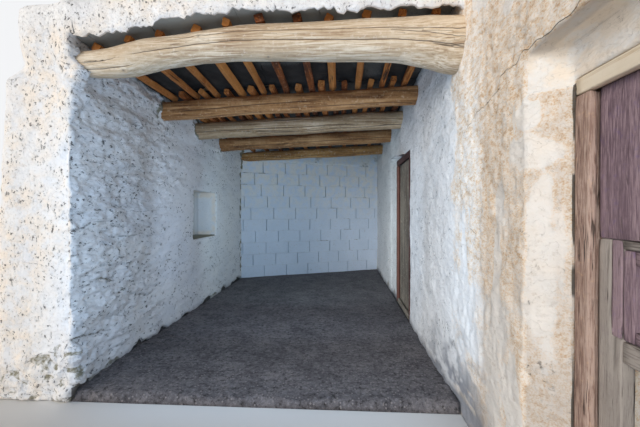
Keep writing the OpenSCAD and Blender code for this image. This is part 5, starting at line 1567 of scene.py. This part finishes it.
# %% One slate
def slab(corners, under, over, seed, step=0.07):
    """One slate over four corners in plan: ragged edges and cleaved faces."""
    c = np.array(corners, float)
    cols = max(3, int(np.linalg.norm(c[1] - c[0]) / step))
    rows = max(3, int(np.linalg.norm(c[3] - c[0]) / step))
    s, t = np.meshgrid(np.arange(cols + 1) / cols, np.arange(rows + 1) / rows, indexing="ij")
    s, t = s.reshape(-1, 1), t.reshape(-1, 1)
    xy = (c[0] * (1 - s) + c[1] * s) * (1 - t) + (c[3] * (1 - s) + c[2] * s) * t
    flat = np.c_[xy, 0 * s]
    rim = ((s == 0) | (s == 1) | (t == 0) | (t == 1))[:, 0]
    xy = xy + rim[:, None] * 7 * MM * np.c_[rough(flat, 0.12, 3, seed),
                                            rough(flat, 0.12, 3, seed + 1)]
    low = under(xy[:, 0], xy[:, 1]) + 1.2 * MM * np.round(1.6 * rough(flat, 0.3, 2, seed + 2))
    high = over(xy[:, 0], xy[:, 1]) + 1.2 * MM * np.round(1.6 * rough(flat, 0.3, 2, seed + 3))
    inner = rim * 2.5 * MM * (1 + lattice((xy[:, 0] * 1e3).astype(int),
                                          (xy[:, 1] * 1e3).astype(int), 0, seed))
    points = np.concatenate([np.c_[xy, low + inner], np.c_[xy, high - inner]])
    n, faces = (cols + 1) * (rows + 1), []
    for i in range(cols):
        for j in range(rows):
            a = i * (rows + 1) + j
            q = [a, a + 1, a + rows + 2, a + rows + 1]
            faces += [q, [k + n for k in q[::-1]]]
    ring = [j for j in range(rows)] + [i * (rows + 1) + rows for i in range(cols)] \
        + [cols * (rows + 1) + rows - j for j in range(rows)] \
        + [(cols - i) * (rows + 1) for i in range(cols)]
    for a, b in zip(ring, ring[1:] + ring[:1]):
        faces.append([b, a, a + n, b + n])
    return points, faces, np.concatenate([0 * low, 0 * high])

# %% Layer of slates
def slate_layer(x_lines, y_lines, under, over, seed):
    """Slabs between jittered lines in plan, a few millimetres apart."""
    parts, gap = [], 2.5 * MM
    for j in range(len(y_lines) - 1):
        for i in range(len(x_lines) - 1):
            def spot(a, b):
                edge_x = a in (0, len(x_lines) - 1)
                edge_y = b in (0, len(y_lines) - 1)
                seam = abs(y_lines[b] - row_seam) < 1e-6
                dx, dy = (float(lattice(np.array([a]), np.array([b]), np.array([k]), seed)[0])
                          for k in (0, 1))
                return np.array([x_lines[a] + (0 if edge_x else 0.035 * dx),
                                 y_lines[b] + (0 if edge_y or seam else 0.06 * dy)])
            c = [spot(i, j), spot(i + 1, j), spot(i + 1, j + 1), spot(i, j + 1)]
            mid = sum(c) / 4
            c = [p + gap * np.sign(mid - p) for p in c]
            parts.append(slab(c, under, over, seed + 31 * i + 7 * j))
    return parts

# %% Slates of the porch
roof_right = front_slates[-1]["high"][0]
front_edge_y = min(s["low"][1] for s in front_slates) + 8 * MM
parts = []
for layer, (low_share, high_share) in enumerate(((0.0, 0.56), (0.50, 1.0))):
    def under(x, y):
        return slate_under(x, y) + low_share * slate_t + 0.4 * MM

    def over(x, y):
        return slate_under(x, y) + high_share * slate_t - 0.4 * MM

    seams = [s["low"][0] for s in front_slates[1:]]
    x_lines = [roof_left + 4 * MM, *(v + (0.21 * layer) for v in seams), roof_right - 4 * MM]
    rear_y = rear_slates[0]["low"][1]
    span = [rear_y + v for v in (0.0, 0.72 + 0.3 * layer, 1.5 + 0.3 * layer, 2.2 + 0.3 * layer)]
    parts += slate_layer(x_lines, [front_edge_y, (front_edge_y + rear_y) / 2 + 0.1 * layer, rear_y],
                         under, over, 200 + layer)
    # behind beam 1 the roof widens to the skewed block wall
    skew_rate = skew / porch_w
    parts += slate_layer(x_lines, span, under, over, 220 + layer)
    rear_left_y = min(s["high"][1] for s in rear_slates) - 0.05
    for i in range(len(x_lines) - 1):
        a, b = x_lines[i] + 2 * MM, x_lines[i + 1] - 2 * MM
        plane_rear = [rear_left_y + skew_rate * (v - roof_left) - 0.01 for v in (a, b)]
        pieces = max(1, round((np.mean(plane_rear) - span[-1]) / 0.7))
        for k in range(pieces):
            y0 = [span[-1] + (r - span[-1]) * k / pieces + 3 * MM for r in plane_rear]
            y1 = [span[-1] + (r - span[-1]) * (k + 1) / pieces for r in plane_rear]
            parts.append(slab([(a, y0[0]), (b, y0[1]), (b, y1[1]), (a, y1[0])], under, over,
                              260 + 11 * i + k + 50 * layer))
points, faces, _ = gather(parts)
# grey towards the eave and less so to the right: dusty, and painted light on the front of the
# undersides
dust = ease(front_y + 0.36, front_y + 0.22, points[:, 1]) \
    * (1 - 0.45 * ease(1.3, 2.3, points[:, 0] - porch_left)) \
    + 0.25 * ease(0.0, 0.6, rough(points, 0.4, 3, seed=231))
porch_slabs = outwards(make_piece("porch_roof_slabs", in_box(points), faces, slate, smooth=False,
                                  dust=np.clip(dust, 0, 1)))
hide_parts("porch_slates")
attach(porch_slabs, "house")
print("slates:", len(parts), "slabs,", triangles(porch_slabs), "triangles")

# %% Slates of the room
slabs_low, slabs_high = box("room_slates")
x_lines = lines((slabs_low[0] + 0.004, 0.6), (slabs_high[0] - 0.004, 0.6))
y_lines = lines((slabs_low[1] + 0.004, 0.7), (slabs_high[1] - 0.004, 0.7))
parts = slate_layer(x_lines, y_lines, lambda x, y: 0 * x + slabs_low[2],
                    lambda x, y: 0 * x + slabs_high[2], 300)
points, faces, _ = gather(parts)
room_slabs = outwards(make_piece("room_roof_slabs", points, faces, slate, smooth=False,
                                 dust=0 * points[:, 0]))
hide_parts("room_slates")
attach(room_slabs, "house")
print("slates of the room:", triangles(room_slabs), "triangles")

# %% [markdown]
# Earth was thrown on the slates and beaten down. Its top wanders by a centimetre
# or two and is loose and gritty; it is lowest where rain runs off.

# %% Earth on both roofs
earth_low, earth_high = box("porch_roof_earth")
xs = lines((earth_low[0], 0.07), (earth_high[0], 0.07))
ys = lines((earth_low[1], 0.07), (earth_high[1], 0.09))
p, q = skin(xs, ys, np.array([0.0, 1.0]), np.ones((len(xs) - 1, len(ys) - 1, 1), bool))
x, y, up = p.T
far = min(s["high"][1] for s in rear_slates) - 0.07
y = np.where(y > far - 0.4, np.minimum(y, far + skew_rate * (x - roof_left) - 0.02), y)
plane_top = np.polyfit([earth_low[0], earth_high[0]],
                       [earth_high[2] - 0.11, earth_high[2] - 0.012], 1)
top = np.polyval(plane_top, x) - 0.012 + 0.012 * rough(p, 0.5, 4, seed=91)
base = slate_under(x, y) + slate_t + 0.001
z = np.where(up > 0.5, np.maximum(top, base + 0.012), base)
porch_earth = make_piece("porch_roof_earth_rough", in_box(np.stack([x, y, z], 1)), q, roof_earth,
                         loose=0.6 + 0 * x)
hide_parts("porch_roof_earth")
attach(porch_earth, "house")

earth_low, earth_high = box("room_roof_earth")
xs = lines((earth_low[0], 0.09), (earth_high[0], 0.09))
ys = lines((earth_low[1], 0.09), (earth_high[1], 0.09))
p, q = skin(xs, ys, np.array([0.0, 1.0]), np.ones((len(xs) - 1, len(ys) - 1, 1), bool))
x, y, up = p.T
share = (x - earth_low[0]) / (earth_high[0] - earth_low[0])
top = earth_low[2] + 0.1 * np.interp(share, [0, 0.333, 1], [1.2, 1.3, 1.0]) - 0.014 \
    + 0.012 * rough(p, 0.6, 4, seed=92)
z = np.where(up > 0.5, np.minimum(top, earth_high[2]), earth_low[2])
room_earth = make_piece("room_roof_earth_rough", np.stack([x, y, z], 1), q, roof_earth,
                        loose=0.6 + 0 * x)
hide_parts("room_roof_earth")
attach(room_earth, "house")
print("earth:", triangles(porch_earth) + triangles(room_earth), "triangles")

# %% Logs of the room
parts = []
for i, stick in enumerate(solids_of("room_logs")):
    low, high = stick.min(0), stick.max(0)
    r = (high[2] - low[2]) / 2
    rings = np.array([(x, (low[1] + high[1]) / 2, low[2] + r, r) for x in (low[0], high[0])])
    parts.append(log_surface(rings, 20, 0.12, lump=7, seed=400 + 9 * i))
points, faces, cut = gather(parts)
room_logs = outwards(make_piece("room_logs_weathered", points, faces, beam_woods[3],
                                shake=cut[:, 0], washed=0 * points[:, 0],
                                tone=0.3 * swell(points / (3, 1, 1), 0.2, 402), grain=points))
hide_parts("room_logs")
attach(room_logs, "house")
print("logs of the room:", triangles(room_logs), "triangles")

# %% [markdown]
# Block wall: concrete blocks of 390 by 190 mm in running bond, painted over
# with lime, set askew at the back of the porch. The head joints were left
# half empty and stay dark, the bed joints are full and hardly show. One point
# is laid down for every block, with the block's length stored on it, and a
# node tree sets a rough block on each point. The mortar behind is one skin.

# %% Lines of the block wall
turn = math.atan2(skew, porch_w)
block_h, block_l, joint, block_t = 0.190, 0.390, 0.010, 0.200
wall_run = porch_w / math.cos(turn)
# first head joint of every row, from the floor up, as the photograph shows them
first_joints = [0.396, 0.202, 0.027, 0.246, 0.036, 0.167, 0.054, 0.343, 0.228, 0.378]
along_wall = np.array([math.cos(turn), math.sin(turn), 0])
through_wall = np.array([-math.sin(turn), math.cos(turn), 0])
wall_foot = np.array([porch_left, front_y + porch_d, floor_z])


def on_wall(s, d, z):
    """A place from its run along the wall, its depth in it and its height."""
    return wall_foot + np.outer(s, along_wall) + np.outer(d, through_wall) + np.c_[0 * s, 0 * s, z]


centres, lengths = [], []
for row, first in enumerate(first_joints):
    left = -0.08
    for right in [first + (block_l + joint) * k for k in range(-1, 8)]:
        right = min(right, wall_run + 0.08)
        if right - left > 0.05:
            centres.append(((left + right) / 2, 0.1, (row + 0.5) * (block_h + joint) - joint / 2))
            lengths.append(right - left - joint)
            left = right
s, d, z = np.array(centres).T
centres = on_wall(s, d, z)
print(len(centres), "blocks")

# %% Node tree of the blocks
# bluish white, partly the wash's own tint and partly painted blue shade of the sky
block_wash = plaster("limewashed_concrete_block", "#DFE7F2", "#D8E1EC", "#EDEAE4", "#B9B6AE",
                     pitted=0.0)


def block_tree(name, material):
    """Sets a block on every point, as long as the point says."""
    tree, given = geometry_tree(name, Height="Float", Depth="Float", Turn="Float",
                                Unevenness="Float", Seed="Int")
    size = add(tree, "ShaderNodeCombineXYZ", {0: 1.0, 1: given["Depth"], 2: given["Height"]})
    block = add(tree, "GeometryNodeMeshCube", {"Size": size})
    length = add(tree, "GeometryNodeInputNamedAttribute", {"Name": "length"}, data_type="FLOAT")
    scale = add(tree, "ShaderNodeCombineXYZ", {0: length, 1: 1.0, 2: 1.0})
    angle = add(tree, "ShaderNodeCombineXYZ", {0: 0.0, 1: 0.0, 2: given["Turn"]})
    by_chance = add(tree, "FunctionNodeRandomValue",
                    {"Min": (-1.0, -1.0, -1.0), "Max": (1.0, 1.0, 1.0),
                                                      "Seed": given["Seed"]},
                    data_type="FLOAT_VECTOR")
    shift = add(tree, "ShaderNodeVectorMath", {0: by_chance, "Scale": given["Unevenness"]},
                operation="SCALE")
    points = add(tree, "GeometryNodeSetPosition", {"Geometry": given["Geometry"], "Offset": shift})
    blocks = add(tree, "GeometryNodeInstanceOnPoints", {"Points": points, "Instance": block,
                                                        "Rotation": angle, "Scale": scale})
    mesh = add(tree, "GeometryNodeRealizeInstances", {0: blocks})
    mesh = add(tree, "GeometryNodeSetMaterial", {"Geometry": mesh, "Material": material})
    add(tree, "NodeGroupOutput", {0: mesh})
    return tree


# %% Blocks
mesh = bpy.data.meshes.new("block_wall_blocks")
mesh.from_pydata(centres.tolist(), [], [])
store(mesh, "length", lengths)
blocks = bpy.data.objects.new("block_wall_blocks", mesh)
bpy.context.scene.collection.objects.link(blocks)
run_tree(blocks, block_tree("blocks_in_running_bond", block_wash), Height=block_h,
         Depth=block_t - 2 * MM, Turn=turn, Unevenness=1.5 * MM, Seed=5)
worn = blocks.modifiers.new("worn_edges", "BEVEL")
worn.width = 4 * MM
worn.segments = 2
apply_modifiers(blocks)
# the upper rows are painted creamier: warm light bounced from the timber
height = np.array([v.co.z for v in blocks.data.vertices]) - floor_z
store(blocks.data, "cream", 1.3 * ease(0.7, 1.9, height))
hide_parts("back_wall")
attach(blocks, "house")
print("blocks:", triangles(blocks), "triangles")

# %% Mortar of the block wall
# bluish white like the blocks: partly its own tint, partly painted blue shade
mortar = plaster("limewashed_mortar", "#DEE5EE", "#D4DCE6", "#E8E6E0", "#8F8B84", pitted=0.4)
wall_top = 2.36
row_z = [k * (block_h + joint) for k in range(len(first_joints) + 1)]
z_stops = [(-floor_z, 0.06)]
for k, z0 in enumerate(row_z):
    z_stops += [(z0 - joint - 0.002, 0.19), (z0 + 0.002, joint)] if k else [(0.002, joint)]
z_stops.append((wall_top, 0.06))
ss = lines((-0.1, 0.05), (wall_run + 0.1, 0.05))
ds = lines((0.0, 0.002), (0.002, 0.03), (0.035, 0.06), (0.165, 0.06), (0.197, 0.03), (0.2, 0.003))
zs = np.array(sorted({round(v, 4) for v, _ in z_stops}))
zs = np.concatenate([zs[zs <= row_z[-1]], lines((row_z[-1] + 0.04, 0.04), (wall_top, 0.04))])
_, cd, cz = middles(ss, ds, zs)
bed = np.min([np.abs(cz - (z0 - joint / 2)) for z0 in row_z[1:]], axis=0) < 0.009
solid = (cd > 0.035) & (cd < 0.165)
solid |= (bed | (cz > row_z[-1])) & (cd > 0.002) & (cd < 0.197)
p, q = skin(ss, ds, zs, solid)
s, d, z = p.T
over_blocks = z > row_z[-1] + 0.001
points = on_wall(s, d, z)
relief = 7 * MM * rough(points, 0.16, 4, seed=130) * over_blocks
relief += 1.2 * MM * rough(points, 0.05, 2, seed=131)
d = np.where(d < 0.1, d - relief, d + relief)
d = np.clip(d, 0.0005, block_t - 0.0005)
points = on_wall(s, d, z)
top = slate_under(points[:, 0], points[:, 1]) - 2 * MM
low, high = row_z[-1] + floor_z, wall_top + floor_z
points[:, 2] = np.where(over_blocks, low + (points[:, 2] - low) * (top - low) / (high - low),
                        points[:, 2])
wall_mortar = make_piece("block_wall_mortar", in_box(points), q, mortar,
                         hollow=0.45 * ease(0.0, 0.8, rough(points, 0.2, 3, seed=132)) + 0 * s,
                         # painted warm light on the upper rows, as on the blocks
                         cream=1.3 * ease(0.7, 1.9, z))
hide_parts("back_wall")
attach(wall_mortar, "house")
print("mortar:", triangles(wall_mortar), "triangles")

# %% [markdown]
# Doors. Their timbers were sawn and planed, so each is a block of cells like
# the walls, with edges worn round, ridges where the soft wood washed out
# between the fibres, and long splits. Everything is worn inwards only, so the
# leaves keep the clearances that the CAD model gives them.

# %% Worn boards
def board(low, high, along, seed, step=0.009, wear=1.4, split=0.5, cuts=None, keep=None):
    """Points, faces and values of one worn board. Cuts are places where grid
    lines must lie, by axis; keep says which cells are solid."""
    axis = "xyz".index(along)
    grids = []
    for i in range(3):
        gap = 4.5 * step if i == axis else min(step, (high[i] - low[i]) / 2.9)
        places = sorted([low[i], *(cuts or {}).get(i, []), high[i]])
        grids.append(lines(*[(v, gap) for v in places]))
    centre = middles(*grids)
    solid = np.ones(centre[0].shape, bool) if keep is None else keep(*centre)
    p, q = skin(*grids, solid)
    p = relax(p, q, 1, np.full(len(p), 0.6))
    n = normals(p, q)
    order = [axis] + [i for i in range(3) if i != axis]
    g = p[:, order]
    thin = g / (16, 1, 1) + 3.7 * seed
    ridges = rough(thin, 0.011, 3, seed)
    line = 1 - np.abs(swell(thin / (1.6, 1, 1), 0.034, seed + 1))
    open_split = ease(0.93, 1.0, line) * ease(0.1, 0.4, swell(g / (4, 1, 1), 0.12, seed + 2))
    ends = ease(0.03, 0.0, np.minimum(g[:, 0] - low[axis], high[axis] - g[:, 0]))
    d = wear * MM * (0.8 * ridges - 1.1) - 5 * MM * split * open_split - 1.5 * MM * ends
    side = np.abs(n[:, axis]) < 0.5
    p = p + n * (d * side)[:, None]
    tone = 0.5 * lattice(np.array([seed]), np.array([3]), np.array([1]), 9)[0] \
        + 0.25 * swell(thin, 0.05, seed + 3)
    grain = g + 1.3 * seed
    values = np.c_[split * open_split, 0 * tone, tone, grain]
    return p, q.tolist(), values

# %% Pieces made of boards
def boards_piece(name, parts, material, body, *replaced):
    """One piece from several boards; it replaces CAD nodes and rides a body."""
    points, faces, values = gather(parts)
    piece = make_piece(name, points, faces, material, shake=values[:, 0], washed=values[:, 1],
                       tone=values[:, 2], grain=values[:, 3:6])
    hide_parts(*replaced)
    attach(piece, body)
    print(name + ":", triangles(piece), "triangles")
    return piece


def broken(part, centre, size, depth):
    """A place where wood broke off: it lies deeper and is pale."""
    p, q, v = part
    away = np.exp(-(((p - centre) / size) ** 2).sum(1))
    p = p + np.array(depth) * away[:, None]
    v[:, 1] = np.maximum(v[:, 1], ease(0.2, 0.6, away))
    return p, q, v


# %% Front door: frame
post_wood = timber("pinkish_weathered_post", "#58433B", "#967A6D", "#C4AC9F", wash="#E6BE90",
                   fibre=0.9, checks=0.5, strength=1.0, stretch=16, flaky=0.4)
limed_wood = timber("limed_door_head", "#B09C80", "#DDCBAF", "#EBE0CC", fibre=1.6, checks=0.3)
door_wood = timber("grey_door_wood", "#635C58", "#918984", "#B3ABA3", wash="#6A5A6C", fibre=0.9,
                   strength=1.0, stretch=16)
violet_wood = timber("violet_limed_board", "#5A4750", "#85707A", "#AA949A", wash="#66549A",
                     fibre=0.8, checks=0.3, strength=1.0, stretch=14, flaky=0.35)
lip_d, lip_w = 30 * MM, 14 * MM


def frame_parts(posts_node, head_node, seed):
    """Two posts with a lip in front of the leaf, and a head like them."""
    parts = []
    for i, solid_points in enumerate(sorted(solids_of(posts_node), key=lambda s: s[:, 1].min())):
        low, high = solid_points.min(0), solid_points.max(0)
        inner = high[1] - lip_w if i == 0 else low[1] + lip_w
        step_x = low[0] + lip_d

        def keep(cx, cy, cz):
            return (cx < step_x) | ((cy < inner) if i == 0 else (cy > inner))

        parts.append(board(low, high, "z", seed + i, cuts={0: [step_x], 1: [inner]}, keep=keep))
    low, high = box(head_node)
    under = low[2] + lip_w
    parts.append(board(low, high, "y", seed + 2, cuts={0: [low[0] + lip_d], 2: [under]},
                       keep=lambda cx, cy, cz: (cx < low[0] + lip_d) | (cz > under)))
    return parts


parts = frame_parts("front_door_posts", "front_door_head", 501)
far_post = solids_of("front_door_posts")
far_post = max(far_post, key=lambda s: s[:, 1].min())
notch = (far_post[:, 0].min() + 0.004, far_post[:, 1].min() + 0.002, floor_z + 0.705)
parts[1] = broken(parts[1], notch, (0.016, 0.012, 0.030), (0.004, 0.011, 0))
boards_piece("front_door_posts_worn", parts[:2], post_wood, "house", "front_door_posts")
boards_piece("front_door_head_limed", parts[2:], limed_wood, "house", "front_door_head")

# %% Front door: leaf
leaf_low, leaf_high = box("front_door_leaf")
board_low, board_high = box("front_door_board")
stile = 100 * MM
rail_z = [0.670, 0.740]
bottom_rail_z, top_rail_z = 0.122, 1.020
parts = []
x0, x1 = leaf_low[0], leaf_high[0]
y0, y1 = leaf_low[1], leaf_high[1]
# a strip over the inner half of the stiles lies deeper, above the middle rail
bead, bead_d = 48 * MM, 10 * MM
bead_z = rail_z[1] + floor_z
for k, (a, b, side) in enumerate(((y0, y0 + stile, 1), (y1 - stile, y1, -1))):
    inner_y = (b if side > 0 else a) - side * bead

    def keep(cx, cy, cz):
        return (cx > x0 + bead_d) | (cz < bead_z) | ((cy - inner_y) * side < 0)

    parts.append(board([x0, a, leaf_low[2]], [x1, b, board_low[2] - 0.001], "z",
                       511 + k, cuts={0: [x0 + bead_d], 1: [inner_y], 2: [bead_z]}, keep=keep))
for k, (a, b) in enumerate(((leaf_low[2] + 0.001, floor_z + bottom_rail_z),
                            (rail_z[0] + floor_z, rail_z[1] + floor_z),
                            (floor_z + top_rail_z, board_low[2] - 0.001))):
    parts.append(board([x0 + 0.001, y0 + stile, a], [x1 - 0.001, y1 - stile, b], "y", 515 + k))
parts.append(board([x0 + 0.022, y0, board_low[2]], leaf_high, "z", 519, step=0.02))
for points, _, values in parts[:2]:       # remains of violet paint above the middle rail
    values[:, 1] = 0.9 * ease(0.72, 0.80, points[:, 2] - floor_z)
boards_piece("front_door_stiles_and_rails", parts, door_wood, "front_door", "front_door_leaf")

# %% Front door: wide board, split from top to bottom
crack = board_low[1] + 0.36 * (board_high[1] - board_low[1])
parts = [board(board_low, [board_high[0], crack - 0.0015, board_high[2]], "z", 521),
         board([board_low[0], crack + 0.0015, board_low[2]], board_high, "z", 523)]
for points, _, values in parts:
    values[:, 1] = 0.7 * ease(1.35, 1.15, points[:, 2] - floor_z) * ease(-0.2, 0.6,
                                                                         swell(points, 0.12, 524))
boards_piece("front_door_wide_board", parts, violet_wood, "front_door", "front_door_board")

# %% Front door: moulding round the pane
low, high = box("front_door_moulding")
w = 42 * MM
parts = [board(low, [high[0], low[1] + w, high[2]], "z", 531, step=0.007),
         board([low[0], high[1] - w, low[2]], high, "z", 532, step=0.007),
         board([low[0], low[1] + w, low[2]], [high[0], high[1] - w, low[2] + w], "y", 533,
               step=0.007),
         board([low[0], low[1] + w, high[2] - w], [high[0], high[1] - w, high[2]], "y", 534,
               step=0.007)]
for k, at in enumerate((y0 + stile - bead + 0.002, y1 - stile + 0.001)):
    parts.append(board([x0 + 0.003, at, bead_z + 0.002],
                       [x0 + 0.009, at + bead - 0.003, board_low[2] - 0.002], "z", 536 + k,
                       step=0.007))
for number, (points, _, values) in enumerate(parts):
    values[:, 1] = (1.0 if number > 3 else 0.6) * ease(-0.3, 0.4, swell(points, 0.08, 535))
boards_piece("front_door_pane_moulding", parts, violet_wood, "front_door", "front_door_moulding")

# %% Inner door: frame and threshold
brown_wood = timber("brown_painted_frame", "#3A201A", "#5C352C", "#7C5548", wash="#B0917A",
                    fibre=1.8, checks=0.2)
leaf_wood = timber("grey_green_door_boards", "#5A5044", "#978B79", "#BDB19C", fibre=1.8, flaky=0.6)
boards_piece("inner_door_frame", frame_parts("inner_door_posts", "inner_door_head", 541),
             brown_wood, "house", "inner_door_posts", "inner_door_head")
low, high = box("inner_door_threshold")
boards_piece("inner_door_worn_threshold", [board(low, high, "y", 545, wear=2.5)], leaf_wood,
             "house", "inner_door_threshold")

# %% Inner door: leaf
low, high = box("inner_door_leaf")
grooves = [low[1] + (high[1] - low[1]) * k / 4 for k in (1, 2, 3)]
hole, hole_r = (high[1] - 0.075, floor_z + 1.010), 0.025
groove_d, groove_half = 4 * MM, 2 * MM


def boarded(cx, cy, cz):
    groove = np.min([np.abs(cy - g) for g in grooves], axis=0) < groove_half
    skin_deep = (cx < low[0] + groove_d) | (cx > high[0] - groove_d)
    return ~(groove & skin_deep) & (np.hypot(cy - hole[0], cz - hole[1]) > hole_r)


cuts = {0: [low[0] + groove_d, high[0] - groove_d], 1: [],
        2: list(hole[1] + 0.012 * np.arange(-3, 4))}
for g in grooves:
    cuts[1] += [g - groove_half, g + groove_half]
boards_piece("inner_door_boards", [board(low, high, "z", 551, step=0.012, cuts=cuts, keep=boarded)],
             leaf_wood, "inner_door", "inner_door_leaf")

# %% [markdown]
# Iron straps and pins: forged, never painted, rusted to an even brown skin
# with orange patches one or two centimetres wide. Their CAD shapes are right, so these nodes
# only get the finish. The pane is old sheet glass, dusty for years; it is made
# opaque, and its dark grey-green is painted shade of the room behind it.

# %% Iron and glass
def rusted(name):
    """Forged iron under an old skin of rust."""
    material, tree, shader = new_material(name, 0.8)
    place = add(tree, "ShaderNodeTexCoord", out="Object")
    blotch = add(tree, "ShaderNodeTexNoise", {"Vector": place, "Scale": 45.0, "Detail": 5.0})
    fine = add(tree, "ShaderNodeTexNoise", {"Vector": place, "Scale": 380.0, "Detail": 3.0})
    colour = add(tree, "ShaderNodeValToRGB", {0: blotch},
                 stops=[(0.35, "#3F312B"), (0.52, "#5A4337"), (0.68, "#86512F")])
    tree.links.new(colour, shader.inputs["Base Color"])
    height = add(tree, "ShaderNodeMath", {0: blotch, 1: 0.8, 2: fine}, operation="MULTIPLY_ADD")
    bump = add(tree, "ShaderNodeBump", {"Height": height, "Distance": 0.8 * MM, "Strength": 0.8})
    tree.links.new(bump, shader.inputs["Normal"])
    return material


def dusty_glass(name):
    """Opaque sheet glass: a dark grey-green that is painted shade of the room behind, paler and
    rougher in cloudy dusty patches.
    """
    material, tree, shader = new_material(name, 0.45)
    place = add(tree, "ShaderNodeTexCoord", out="Object")
    cloud = add(tree, "ShaderNodeTexNoise", {"Vector": place, "Scale": 9.0, "Detail": 6.0})
    # dark grey-green is painted shade of the room behind; paler where it is dusty
    colour = add(tree, "ShaderNodeValToRGB", {0: cloud},
                 stops=[(0.30, "#4A504A"), (0.70, "#6E736B")])
    tree.links.new(colour, shader.inputs["Base Color"])
    gloss = add(tree, "ShaderNodeMapRange", {0: cloud, 1: 0.3, 2: 0.7, 3: 0.25, 4: 0.7})
    tree.links.new(gloss, shader.inputs["Roughness"])
    return material

# %% Finish of iron and glass
rust = rusted("rusted_forged_iron")
for name in ("front_door_straps", "front_door_pintles", "inner_door_straps", "inner_door_pintles"):
    for slot in nodes[name].material_slots:
        slot.material = rust
for slot in nodes["front_door_pane"].material_slots:
    slot.material = dusty_glass("dusty_window_glass")
print("iron:", [len(nodes[n].material_slots) for n in ("front_door_straps", "front_door_pane")])
